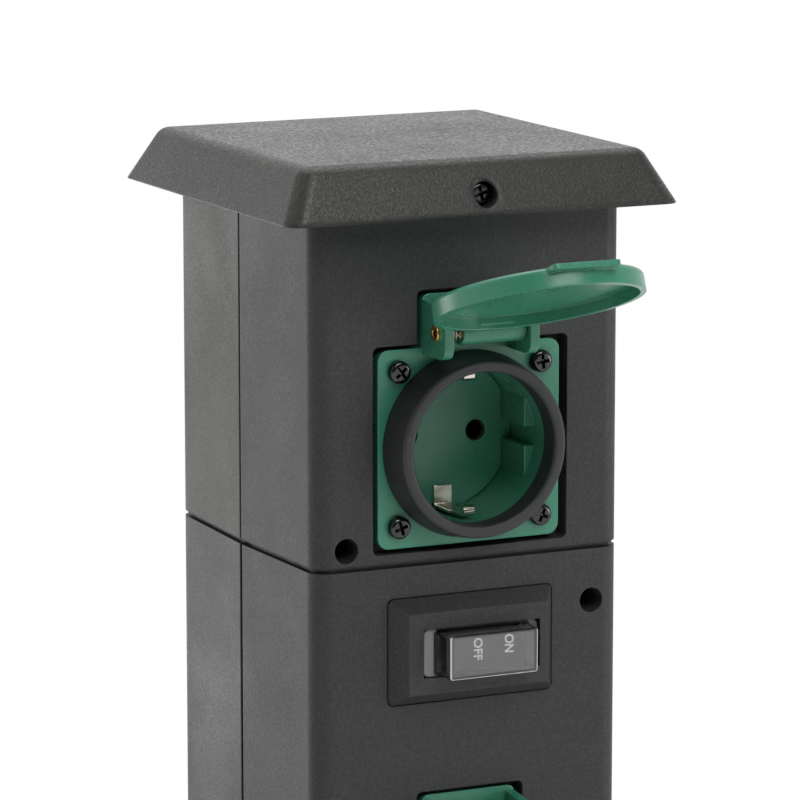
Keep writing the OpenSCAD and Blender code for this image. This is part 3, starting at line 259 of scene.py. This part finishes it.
# The foot's screws: four blackened steel pan heads with a pressed cross recess and a rolled thread,
# driven up from below through the plate into the bosses of the lower shells.
def blackened_steel(name, colour, rough):
    skin, tree = new_material(name)
    place = add_node(tree, "TexCoord")
    scale = add_node(tree, "TexNoise", {"Vector": place.outputs["Object"], "Scale": 900.0, "Detail": 3.0})
    bare = add_node(tree, "MapRange", {"Value": scale.outputs[0], "From Min": 0.55, "From Max": 0.8})
    tone = add_node(tree, "Mix", {0: bare.outputs[0], 6: (*colour, 1),
                                  7: (*[part * 1.5 for part in colour], 1)}, data_type="RGBA")
    gloss = add_node(tree, "MapRange", {"Value": scale.outputs[0], "To Min": rough - 0.1,
                                        "To Max": rough + 0.1})
    bump = add_node(tree, "Bump", {"Height": scale.outputs[0], "Distance": 0.01 * MM, "Strength": 1.0})
    shader = add_node(tree, "BsdfPrincipled", {"Base Color": tone.outputs[2], "Roughness": gloss.outputs[0],
                                               "Metallic": 1.0, "Normal": bump.outputs[0]})
    add_node(tree, "OutputMaterial", {"Surface": shader.outputs[0]})
    return skin


def turned(profile, steps=36):
    # Radii and heights from one end on the axis to the other, turned into a closed form
    shape = bmesh.new()
    around = [2 * pi * i / steps for i in range(steps)]
    rings = []
    for radius, height in profile:
        if radius == 0:
            rings.append([shape.verts.new((0, 0, height))])
        else:
            rings.append([shape.verts.new((radius * cos(turn), radius * sin(turn), height))
                          for turn in around])
    for low, high in zip(rings, rings[1:]):
        for i in range(steps):
            j = (i + 1) % steps
            corners = [low[i % len(low)], low[j % len(low)], high[j % len(high)], high[i % len(high)]]
            shape.faces.new(list(dict.fromkeys(corners)))
    bmesh.ops.recalc_face_normals(shape, faces=shape.faces)
    return shape


def cross_screw(head_r, head_h, shank_r, shank_l):
    # Blank with a rounded pan head and a rolled thread, seat at the origin and head upwards
    thread_pitch = 0.7 * shank_r
    turns = int((shank_l - 1.6 * shank_r) / thread_pitch)
    start = 1.4 * shank_r - shank_l
    root_r, neck_r = 0.76 * shank_r, 0.8 * shank_r
    profile = [(0, -shank_l), (0.25 * shank_r, 0.15 * shank_r - shank_l)]
    for i in range(turns):
        profile += [(root_r, start + i * thread_pitch), (shank_r, start + (i + 0.5) * thread_pitch)]
    profile += [(neck_r, start + turns * thread_pitch), (neck_r, 0)]
    profile += [(0.97 * head_r, 0), (head_r, 0.06 * head_h)]
    rise = 0.45 * head_h
    profile += [(head_r - rise + rise * cos(radians(a)), head_h - rise + rise * sin(radians(a)))
                for a in range(0, 91, 15)]
    profile += [(0.5 * (head_r - rise), head_h), (0, head_h)]
    blank_mesh = bpy.data.meshes.new("screw_blank")
    shape = turned(profile)
    shape.to_mesh(blank_mesh)
    shape.free()
    # Punch: a cross that tapers to the recess's floor
    arm, half = 0.62 * head_r, 0.15 * head_r
    plan = [(half, half), (half, arm), (-half, arm), (-half, half), (-arm, half), (-arm, -half),
            (-half, -half), (-half, -arm), (half, -arm), (half, -half), (arm, -half), (arm, half)]
    wide, narrow, recess_floor, past_head = 1.05, 0.55, 0.3 * head_h, head_h + 0.1 * MM
    punch = bmesh.new()
    top = [punch.verts.new((x * wide, y * wide, past_head)) for x, y in plan]
    floor_of_cross = [punch.verts.new((x * narrow, y * narrow, recess_floor)) for x, y in plan]
    punch.faces.new(top)
    punch.faces.new(floor_of_cross[::-1])
    for i in range(len(plan)):
        j = (i + 1) % len(plan)
        punch.faces.new((top[i], floor_of_cross[i], floor_of_cross[j], top[j]))
    bmesh.ops.recalc_face_normals(punch, faces=punch.faces)
    punch_mesh = bpy.data.meshes.new("cross_punch")
    punch.to_mesh(punch_mesh)
    punch.free()
    blank = place_object("screw_blank", blank_mesh)
    punch_tool = place_object("cross_punch", punch_mesh)
    pressed = blank.modifiers.new("pressed", "BOOLEAN")
    pressed.operation = "DIFFERENCE"
    pressed.object = punch_tool
    bpy.context.view_layer.update()
    made = bpy.data.meshes.new_from_object(blank.evaluated_get(bpy.context.evaluated_depsgraph_get()))
    bpy.data.objects.remove(blank)
    bpy.data.objects.remove(punch_tool)
    return made


black_steel = blackened_steel("blackened_steel", (0.062, 0.062, 0.066), rough=0.15)


def add_screws(name, node_name, screw, seats, out, turns):
    # One copy of the screw on each seat, head towards out, each stopped at its own turn
    stand_up = Vector((0, 0, 1)).rotation_difference(Vector(out)).to_matrix().to_4x4()
    shape = bmesh.new()
    for seat, turn in zip(seats, turns):
        driven = Matrix.Rotation(radians(turn), 4, "Z")
        copy = screw.copy()
        copy.transform(Matrix.Translation(Vector(seat) * MM) @ stand_up @ driven)
        shape.from_mesh(copy)
        bpy.data.meshes.remove(copy)
    mesh = bpy.data.meshes.new(name)
    shape.to_mesh(mesh)
    shape.free()
    mesh.materials.clear()
    mesh.materials.append(black_steel)
    for face in mesh.polygons:
        face.use_smooth = True
        face.material_index = 0
    mesh.set_sharp_from_angle(angle=radians(32))
    piece = place_object(name, mesh)
    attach(piece, "post")
    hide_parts(node_name)


foot_bosses, foot_seat_z = (-31.5, 31.5), 3.2
foot_seats = [(x, y, foot_seat_z) for x in foot_bosses for y in foot_bosses]
foot_screw = cross_screw(head_r=3.8 * MM, head_h=2.6 * MM, shank_r=1.9 * MM, shank_l=14.8 * MM)
down = (0, 0, -1)
add_screws("foot_pan_screws", "foot_screws", foot_screw, foot_seats, down, turns=(12, 55, 31, 78))


# The shells: two front and two rear halves of grained anthracite plastic, moulded with bosses, recesses
# and screw tunnels. Each front half meets its rear half on the sides, where the edges have a small radius.
# The upper pair stands on the lower, and its rear half is painted in a warmer tint, a painted reflection.
def flat_patch(face):
    # All the faces that lie in one plane with this one and join up with it
    flat_within = radians(0.05)
    patch, fresh = {face}, [face]
    while fresh:
        for edge in fresh.pop().edges:
            for other in edge.link_faces:
                if other not in patch and edge.calc_face_angle() < flat_within:
                    patch.add(other)
                    fresh.append(other)
    return list(patch)


def joint_edges(shape, widest):
    # The long outer edges at the joint, one on the left and one on the right
    side_match, joint_match, shortest, sharp = 0.01 * MM, 1 * MM, 5 * MM, radians(35)
    found = []
    for edge in shape.edges:
        ends = [end.co for end in edge.verts]
        outer = all(abs(abs(end.x) - widest) < side_match and abs(end.y) < joint_match for end in ends)
        if outer and abs(ends[0].z - ends[1].z) > shortest and edge.calc_face_angle() > sharp:
            found.append(edge)
    return found


def eased_shell(name, material, ease):
    # The solid's own form, with a radius on the two outer edges of the joint
    shape = bmesh.new()
    shape.from_mesh(nodes[name].data)
    bmesh.ops.remove_doubles(shape, verts=shape.verts, dist=1e-6)
    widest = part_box(name)[1][0]
    for number in (0, 1):
        for side in (0, 1):
            edge = joint_edges(shape, widest)[number]
            bmesh.ops.dissolve_faces(shape, faces=flat_patch(edge.link_faces[side]), use_verts=False)
    bmesh.ops.bevel(shape, geom=joint_edges(shape, widest), offset=ease, offset_type="OFFSET", segments=3,
                    profile=0.5, affect="EDGES", loop_slide=False)
    mesh = bpy.data.meshes.new("eased_" + name)
    shape.to_mesh(mesh)
    shape.free()
    piece = place_object("eased_" + name, mesh)
    finish_piece(piece, material)
    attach(piece, "post")
    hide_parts(name)


# A warmer copy of the housing's colour for the upper rear half: a painted reflection tint
reflection_tinted_anthracite = moulded_plastic("reflection_tinted_anthracite_plastic", (0.036, 0.036, 0.030), **housing_finish_and_shade)
eased_shell("lower_front_shell", anthracite, ease=0.9 * MM)
eased_shell("lower_rear_shell", anthracite, ease=0.3 * MM)
eased_shell("upper_front_shell", anthracite, ease=0.3 * MM)
eased_shell("upper_rear_shell", reflection_tinted_anthracite, ease=0.3 * MM)

# The shell screws: long blackened pan heads at the bottom of deep tunnels in the front halves,
# drawn into bosses of the rear halves on the other side of the joint.
shell_boss_x, shell_seat_y = 34, -12
forward = (0, -1, 0)
lower_seats = [(shell_boss_x, shell_seat_y, 167.3), (-shell_boss_x, shell_seat_y, 30)]
upper_seats = [(-shell_boss_x, shell_seat_y, 186), (shell_boss_x, shell_seat_y, 273.5)]
shell_screw = cross_screw(head_r=2.9 * MM, head_h=2.3 * MM, shank_r=1.75 * MM, shank_l=24 * MM)
add_screws("lower_shell_pan_screws", "lower_shell_screws", shell_screw, lower_seats, forward, turns=(20, 63))
add_screws("upper_shell_pan_screws", "upper_shell_screws", shell_screw, upper_seats, forward, turns=(41, 8))

# The cap: a hipped roof of the same plastic with a coarser, paler grain on its top, hollow under the
# overhang. Its slopes run down to a thin rim. A counterbored screw front and rear holds it to the
# upper shells.
cap_plastic = moulded_plastic("cap_plastic", (0.029, 0.029, 0.0265), rough=0.34, grain=0.42 * MM,
                              depth=0.09 * MM, speck=0.9, edge_rub_and_highlight=0.3, edge=2.2 * MM, shine=0.3,
                              under_edge=0.35 * MM)
cap_low, cap_high = (Vector(corner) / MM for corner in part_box("cap"))
# The solid's rim is higher, so the foot of each slope is drawn down to the thin one
solid_rim, thin_rim, slope_h, slope_in = 1.2, 0.3, 11.22, 5.61
cap_shape = bmesh.new()
cap_shape.from_mesh(nodes["cap"].data)
bmesh.ops.remove_doubles(cap_shape, verts=cap_shape.verts, dist=1e-6)
for corner in cap_shape.verts:
    x, y, z = corner.co / MM
    rise = z - cap_low.z
    solid_y = cap_high.y - slope_in * (rise - solid_rim) / (slope_h - solid_rim)
    on_rim = abs(rise - solid_rim) < 0.01 and max(abs(x), abs(y)) > cap_high.y - 2
    on_slope = solid_rim < rise < slope_h - 0.1 and abs(abs(y) - solid_y) < 0.03
    if on_rim:
        corner.co.z = (cap_low.z + thin_rim) * MM
    elif on_slope:
        slope_y = cap_high.y - slope_in * (rise - thin_rim) / (slope_h - thin_rim)
        corner.co.y = (slope_y if y > 0 else -slope_y) * MM
cap_mesh = bpy.data.meshes.new("hipped_cap")
cap_shape.to_mesh(cap_mesh)
cap_shape.free()
cap = place_object("hipped_cap", cap_mesh)
finish_piece(cap, cap_plastic)
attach(cap, "post")
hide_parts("cap")
cap_seat_y, cap_seat_z = 46.15, 273.5
cap_screw = cross_screw(head_r=2.9 * MM, head_h=2.3 * MM, shank_r=1.75 * MM, shank_l=12 * MM)
for name, side, turn in (("cap_front_screw", -1, 14), ("cap_rear_screw", 1, 54)):
    seats = [(0, side * cap_seat_y, cap_seat_z)]
    add_screws(name, "cap_screws", cap_screw, seats, (0, side, 0), turns=(turn,))

# The sockets: each a glass-filled green body with a square flange, hinge ears and a keyed round cup,
# closed at the back by a green plate with two pin holes. Four pan heads hold it over a flat gasket.
socket_z = {"upper": 210.2, "lower": 83.0}
flange_y, flange_holes = -42, (-19.5, 19.5)
green_plastic = moulded_plastic("green_plastic", (0.037, 0.196, 0.122), rough=0.28, grain=0.5 * MM,
                                depth=0.012 * MM, speck=0.08, edge_rub_and_highlight=0.75, edge=0.5 * MM)
black_rubber = moulded_plastic("black_rubber", (0.020, 0.020, 0.021), rough=0.5, grain=0.35 * MM,
                               depth=0.012 * MM, speck=0.2, edge_rub_and_highlight=0.35, edge=0.3 * MM)
flange_screw = cross_screw(head_r=2.85 * MM, head_h=2.2 * MM, shank_r=1.45 * MM, shank_l=12.6 * MM)
for which, z in socket_z.items():
    finish_node(which + "_socket_body", green_plastic)
    finish_node(which + "_contact_plate", green_plastic)
    finish_node(which + "_socket_gasket", black_rubber)
    finish_node(which + "_seal_ring", black_rubber, edge=0.2 * MM)
    seats = [(x, flange_y, z + rise) for x in flange_holes for rise in flange_holes]
    add_screws(which + "_flange_pan_screws", which + "_socket_screws", flange_screw, seats, forward,
               turns=(18, 40, 66, 5))


# The contacts: two sleeves of rolled brass in a pale thermoset carrier behind the plate, painted dark to
# stand for the shade deep in the pin holes, and a sprung earth clip of nickel-plated strip whose noses reach
# into the cup.
def plain_metal(name, colour, rough, tarnish):
    skin, tree = new_material(name)
    place = add_node(tree, "TexCoord")
    drawn = add_node(tree, "Mapping", {"Vector": place.outputs["Object"], "Scale": (1.0, 0.08, 1.0)})
    lines = add_node(tree, "TexNoise", {"Vector": drawn.outputs[0], "Scale": 2600.0, "Detail": 2.0})
    stain = add_node(tree, "TexNoise", {"Vector": place.outputs["Object"], "Scale": 320.0, "Detail": 4.0})
    dull = add_node(tree, "MapRange", {"Value": stain.outputs[0], "From Min": 0.42, "From Max": 0.7,
                                       "To Max": tarnish})
    tone = add_node(tree, "Mix", {0: dull.outputs[0], 6: (*colour, 1),
                                  7: (*[part * 0.35 for part in colour], 1)}, data_type="RGBA")
    gloss = add_node(tree, "Math", {0: dull.outputs[0], 1: 0.35, 2: rough}, operation="MULTIPLY_ADD")
    bump = add_node(tree, "Bump", {"Height": lines.outputs[0], "Distance": 0.006 * MM, "Strength": 1.0})
    shader = add_node(tree, "BsdfPrincipled", {"Base Color": tone.outputs[2], "Roughness": gloss.outputs[0],
                                               "Metallic": 1.0, "Normal": bump.outputs[0]})
    add_node(tree, "OutputMaterial", {"Surface": shader.outputs[0]})
    return skin


# The sleeves' brass is painted nearly black: painted shade deep in the pin holes
shade_darkened_brass = plain_metal("shade_darkened_brass", (0.10, 0.07, 0.03), rough=0.45, tarnish=0.8)
nickel_strip = plain_metal("nickel_strip", (0.74, 0.71, 0.61), rough=0.15, tarnish=0.3)
carrier_resin = moulded_plastic("carrier_resin", (0.62, 0.60, 0.52), rough=0.5, grain=0.6 * MM,
                                depth=0.01 * MM, speck=0.05, edge_rub_and_highlight=0.3, edge=0.3 * MM)
for which in socket_z:
    finish_node(which + "_contact_carrier", carrier_resin, edge=0.3 * MM)
    finish_node(which + "_contact_sleeves", shade_darkened_brass)
    finish_node(which + "_earth_clip", nickel_strip, edge=0.12 * MM)


# The lids: round green dishes with a rolled rim, a grip lip and a barrel between the ears, on hollow
# brass pins flared at both ends. A torsion spring of round nickel wire on the pin pulls each lid shut.
def bent_wire(name, points, radius, material):
    strand = bpy.data.curves.new(name, "CURVE")
    strand.dimensions = "3D"
    strand.bevel_depth = radius
    strand.bevel_resolution = 4
    strand.use_fill_caps = True
    run = strand.splines.new("POLY")
    run.points.add(len(points) - 1)
    for spot, point in zip(run.points, points):
        spot.co = (*point, 1)
    run.use_smooth = True
    strand.materials.append(material)
    return place_object(name, strand)


pin_brass = plain_metal("pin_brass", (0.95, 0.62, 0.20), rough=0.25, tarnish=0.06)
spring_wire = plain_metal("spring_wire", (0.24, 0.23, 0.21), rough=0.25, tarnish=0.4)
hinge_y, hinge_rise = -50.0, 29.8
coil_r, coil_pitch, coil_turns, coil_start = 2.35, 1.06, 2.25, -10.0
coil_end = coil_start + coil_pitch * coil_turns
steps_a_turn, leg, leg_steps = 32, 8.0, 8
# Along the pin, up and outwards from its axis: the leg on the flange, the coil and the hook under the lid
coil = [(coil_start, coil_r, -leg * (1 - i / leg_steps)) for i in range(leg_steps)]
for i in range(int(coil_turns * steps_a_turn) + 1):
    turn = i / steps_a_turn
    coil.append((coil_start + coil_pitch * turn, coil_r * cos(2 * pi * turn), coil_r * sin(2 * pi * turn)))
coil += [(coil_end, -0.6, coil_r), (coil_end, -1.2, coil_r)]
for which, z in socket_z.items():
    finish_node(which + "_lid", green_plastic)
    finish_node(which + "_hinge_pin", pin_brass, edge=0.12 * MM)
    points = [(x * MM, (hinge_y - outward) * MM, (z + hinge_rise + rise) * MM) for x, rise, outward in coil]
    spring = bent_wire(which + "_torsion_spring", points, radius=0.3 * MM, material=spring_wire)
    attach(spring, "post")
    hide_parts(which + "_hinge_spring")

# The switch: a black rocker in a black body, clipped into a sloped anthracite bezel, with push-on
# brass tags behind.
switch_black = moulded_plastic("switch_black", (0.012, 0.012, 0.013), rough=0.32, grain=0.4 * MM,
                               depth=0.006 * MM, speck=0.12, edge_rub_and_highlight=0.4, edge=0.3 * MM)
tag_brass = plain_metal("tag_brass", (0.80, 0.56, 0.22), rough=0.3, tarnish=0.3)
finish_node("switch_bezel", anthracite)
finish_node("switch_body", switch_black)
finish_node("switch_terminals", tag_brass, edge=0.1 * MM)
finish_node("rocker", switch_black, edge=0.3 * MM)


# The switch's cover: a thin box of soft clear vinyl, blown over a form, with leaning ends and a flat rim that
# lies in the bezel. Its rounded edges, apart from the upper one, are whitish and half clear as a painted
# highlight, and it is grey on the rim up to its right end.
def clear_vinyl(name, tint, clearness, rough):
    skin, tree = new_material(name)
    place = add_node(tree, "TexCoord")
    haze = add_node(tree, "TexNoise", {"Vector": place.outputs["Object"], "Scale": 260.0, "Detail": 3.0})
    gloss = add_node(tree, "MapRange", {"Value": haze.outputs[0], "To Min": rough, "To Max": rough + 0.12})
    tone = add_node(tree, "Mix", {0: haze.outputs[0], 6: (*[0.93 * part for part in tint], 1), 7: (*tint, 1)},
                    data_type="RGBA")
    bump = add_node(tree, "Bump", {"Height": haze.outputs[0], "Distance": 0.02 * MM, "Strength": 1.0})
    shader = add_node(tree, "BsdfPrincipled", {"Base Color": tone.outputs[2], "Roughness": gloss.outputs[0],
                                               "Transmission Weight": clearness, "IOR": 1.5,
                                               "Normal": bump.outputs[0]})
    add_node(tree, "OutputMaterial", {"Surface": shader.outputs[0]})
    return skin


switch_x, front_y, switch_z = 0.9, -43, 159.1


def rounded_ring(shape, half_w, half_h, corner, out, steps=6):
    # Points of a rounded rectangle about the switch's middle, at a distance out of the post's front face
    ring = []
    for quarter, (sx, sz) in enumerate(((1, 1), (-1, 1), (-1, -1), (1, -1))):
        for i in range(steps + 1):
            angle = radians(90 * (quarter + i / steps))
            x = switch_x + sx * (half_w - corner) + corner * cos(angle)
            z = switch_z + sz * (half_h - corner) + corner * sin(angle)
            ring.append(shape.verts.new((x * MM, (front_y - out) * MM, z * MM)))
    return ring


cover_skins = (clear_vinyl("clear_vinyl", (0.97, 0.98, 0.98), clearness=1.0, rough=0.02),
               clear_vinyl("scuffed_vinyl", (0.97, 0.98, 0.98), clearness=0.955, rough=0.03),
               # Whitish, half clear vinyl for the rounded edges: a painted highlight
               clear_vinyl("edge_highlight_vinyl", (0.92, 0.93, 0.93), clearness=0.35, rough=0.2),
               clear_vinyl("grey_vinyl", (0.30, 0.30, 0.31), clearness=0.3, rough=0.3))
clear, scuffed, edge_highlight_white, grey = range(4)
# Half width, half height, corner radius, distance out and skin of each step over the cover, rim first
cover_steps = (
    (16.0, 6.0, 1.5, 3.0, grey),
    (16.0, 6.0, 1.5, 3.8, grey),
    (15.6, 5.95, 1.4, 4.2, grey),
    (13.5, 5.9, 1.0, 4.2, grey),
    (13.2, 5.65, 0.9, 4.5, clear),
    (12.1, 5.6, 0.7, 11.65, edge_highlight_white),
    (11.95, 5.5, 0.6, 11.9, edge_highlight_white),
    (11.75, 5.35, 0.5, 12.0, scuffed),
    (11.2, 4.8, 0.4, 11.3, clear),
    (12.5, 4.9, 0.5, 3.0, grey),
)
right_end, upper_edge = 12.5 * MM, (switch_z + 5.2) * MM
cover_shape = bmesh.new()
rings = [rounded_ring(cover_shape, *step[:4]) for step in cover_steps]
for number, (*_, skin) in enumerate(cover_steps):
    low, high = rings[number], rings[(number + 1) % len(rings)]
    if skin == scuffed:
        # The pane closes both the outer and the inner form
        cover_shape.faces.new(low).material_index = scuffed
        cover_shape.faces.new(high).material_index = scuffed
        continue
    for i in range(len(low)):
        j = (i + 1) % len(low)
        side = cover_shape.faces.new((low[i], low[j], high[j], high[i]))
        at_right = skin == grey and low[i].co.x > right_end
        # The upper edge gets no painted highlight and stays clear
        at_top = skin == edge_highlight_white and min(low[i].co.z, low[j].co.z) > upper_edge
        side.material_index = clear if at_right or at_top else skin
bmesh.ops.recalc_face_normals(cover_shape, faces=cover_shape.faces)
cover_mesh = bpy.data.meshes.new("clear_switch_cover")
cover_shape.to_mesh(cover_mesh)
cover_shape.free()
for material in cover_skins:
    cover_mesh.materials.append(material)
for face in cover_mesh.polygons:
    face.use_smooth = True
cover_mesh.set_sharp_from_angle(angle=radians(20))
cover = place_object("clear_switch_cover", cover_mesh)
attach(cover, "post")
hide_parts("switch_cover")


# The words ON and OFF: white ink pad-printed on the two halves of the rocker's face,
# read from the side, with slightly uneven coverage.
def printing_ink(name):
    skin, tree = new_material(name)
    place = add_node(tree, "TexCoord")
    cover = add_node(tree, "TexNoise", {"Vector": place.outputs["Object"], "Scale": 1800.0, "Detail": 3.0})
    tone = add_node(tree, "Mix", {0: cover.outputs[0], 6: (0.42, 0.42, 0.42, 1), 7: (0.75, 0.75, 0.74, 1)},
                    data_type="RGBA")
    gloss = add_node(tree, "MapRange", {"Value": cover.outputs[0], "To Min": 0.4, "To Max": 0.65})
    shader = add_node(tree, "BsdfPrincipled", {"Base Color": tone.outputs[2], "Roughness": gloss.outputs[0]})
    add_node(tree, "OutputMaterial", {"Surface": shader.outputs[0]})
    return skin


white_ink = printing_ink("white_ink")
rocker_mesh = nodes["rocker"].data
rocker_face = BVHTree.FromPolygons([corner.co for corner in rocker_mesh.vertices],
                                   [list(face.vertices) for face in rocker_mesh.polygons])
switch_middle = Vector((switch_x, front_y, switch_z)) * MM
well_in_front, ink_lift = 60 * MM, 0.03 * MM
# Each word's place to the right of the middle and above it, and the height of its letters
for word, aside, rise, height in (("OFF", -3.0, 0.9, 3.3), ("ON", 4.9, 1.9, 3.05)):
    letters = bpy.data.curves.new("word_" + word.lower(), "FONT")
    letters.body = word
    letters.size = height * MM
    letters.align_x = "CENTER"
    letters.align_y = "CENTER"
    letters.extrude = 0.05 * MM
    letters.offset = 0.06 * MM
    letters.resolution_u = 6
    flat_word = place_object("flat_word", letters)
    bpy.context.view_layer.update()
    ink = bpy.data.meshes.new_from_object(flat_word.evaluated_get(bpy.context.evaluated_depsgraph_get()))
    bpy.data.objects.remove(flat_word)
    for corner in ink.vertices:
        along, up, thick = corner.co
        spot = switch_middle + Vector((aside * MM + up, -well_in_front, rise * MM - along))
        touch = rocker_face.ray_cast(spot, Vector((0, 1, 0)))[0]
        corner.co = touch - Vector((0, thick + ink_lift, 0))
    ink.materials.clear()
    ink.materials.append(white_ink)
    piece = place_object("rocker_word_" + word.lower(), ink)
    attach(piece, "rocker_body")

# The cable gland: black nylon at the foot of the rear wall, a hexagon body screwed through the wall,
# a locknut inside, and a dome nut that squeezes a rubber seal round the supply cable.
gland_nylon = moulded_plastic("gland_nylon", (0.016, 0.016, 0.017), rough=0.42, grain=0.5 * MM,
                              depth=0.012 * MM, speck=0.15, edge_rub_and_highlight=0.4, edge=0.4 * MM)
for name in ("gland_body", "gland_nut", "gland_locknut"):
    finish_node(name, gland_nylon, edge=0.3 * MM)
finish_node("gland_seal", black_rubber, edge=0.2 * MM)

# The terminal block: a pale moulded strip of five poles fixed to the rear wall inside the post,
# with a plated grub screw in front of each wire hole.
finish_node("terminal_block", carrier_resin)
finish_node("terminal_screws", nickel_strip, edge=0.1 * MM)


# The inner wires: single cores in brown, blue and green-yellow sleeving from the block to the switch,
# and from there and the block to the contacts of both sockets.
def wire_sleeve(name, colour, stripe):
    skin, tree = new_material(name)
    place = add_node(tree, "TexCoord")
    bands = add_node(tree, "TexWave", {"Vector": place.outputs["Object"], "Scale": 55.0, "Distortion": 1.0},
                     bands_direction="DIAGONAL")
    edge = add_node(tree, "MapRange", {"Value": bands.outputs["Fac"], "From Min": 0.45, "From Max": 0.55})
    scuff = add_node(tree, "TexNoise", {"Vector": place.outputs["Object"], "Scale": 700.0, "Detail": 3.0})
    tone = add_node(tree, "Mix", {0: edge.outputs[0], 6: (*colour, 1), 7: (*stripe, 1)}, data_type="RGBA")
    gloss = add_node(tree, "MapRange", {"Value": scuff.outputs[0], "To Min": 0.3, "To Max": 0.5})
    bump = add_node(tree, "Bump", {"Height": scuff.outputs[0], "Distance": 0.01 * MM, "Strength": 1.0})
    shader = add_node(tree, "BsdfPrincipled", {"Base Color": tone.outputs[2], "Roughness": gloss.outputs[0],
                                               "Normal": bump.outputs[0]})
    add_node(tree, "OutputMaterial", {"Surface": shader.outputs[0]})
    return skin


upper, lower = socket_z["upper"], socket_z["lower"]
pole_pitch, block_y, block_mouth, block_clear = 9, 32.4, 76, 84
block_exit = (block_mouth + block_clear) / 2
bend = 8
tag_y, tag_left, tag_right = -17, -7.1, 8.9
sleeve_x, sleeve_y, earth_y = 9.5, -3, -7.2
# Depths at which the cores run up the post
live_y, switched_y, neutral_y, earth_run_y = 4, 12, 14, 24


def up_the_post(pole, run_y, x, y, z):
    # From a pole of the block, up at depth run_y, then forward to the tag
    side = pole_pitch * pole
    return [(side, block_y, block_mouth), (side, block_y, block_clear),
            (side, run_y + bend, block_clear + 12),
            ((side + x) / 2, run_y, (block_exit + z) / 2 + bend),
            (x, run_y, z - bend), (x, run_y - 4, z), (x, y, z)]


def to_lower_socket(pole, run_y, x, y):
    # From a pole of the block straight to the socket in front of it
    side = pole_pitch * pole
    return [(side, block_y, block_mouth), (side, block_y, block_clear),
            ((side + x) / 2, run_y + bend, block_clear + 4), (x, run_y, lower), (x, y, lower)]


to_upper_live = [(tag_right, tag_y, switch_z), (tag_right, tag_y + bend, switch_z),
                 (sleeve_x, switched_y, switch_z + 2 * bend), (sleeve_x, switched_y, upper - bend),
                 (sleeve_x, live_y, upper), (sleeve_x, sleeve_y, upper)]
to_lower_live = [(switch_x, tag_y, switch_z), (switch_x, tag_y + bend, switch_z),
                 (sleeve_x, live_y, switch_z - 3 * bend), (sleeve_x, live_y, lower + bend),
                 (sleeve_x, 0.5, lower), (sleeve_x, sleeve_y, lower)]
cores = (
    ("wire_live", wire_sleeve("brown_sleeve", (0.16, 0.07, 0.03), (0.15, 0.065, 0.027)),
     [up_the_post(-2, live_y, tag_left, tag_y, switch_z), to_upper_live, to_lower_live]),
    ("wire_neutral", wire_sleeve("blue_sleeve", (0.04, 0.11, 0.36), (0.038, 0.105, 0.35)),
     [up_the_post(-1, neutral_y, -sleeve_x, sleeve_y, upper),
      to_lower_socket(0, neutral_y, -sleeve_x, sleeve_y)]),
    ("wire_earth", wire_sleeve("green_yellow_sleeve", (0.07, 0.30, 0.05), (0.70, 0.58, 0.04)),
     [up_the_post(2, earth_run_y, 0, earth_y, upper), to_lower_socket(1, earth_run_y, 0, earth_y)]),
)
core_r = 1.3 * MM
for node_name, sleeve, runs in cores:
    for number, run in enumerate(runs):
        points = [tuple(part * MM for part in point) for point in run]
        core = bent_wire("core_%s_%d" % (node_name[5:], number + 1), points, core_r, sleeve)
        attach(core, "post")
        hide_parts(node_name)
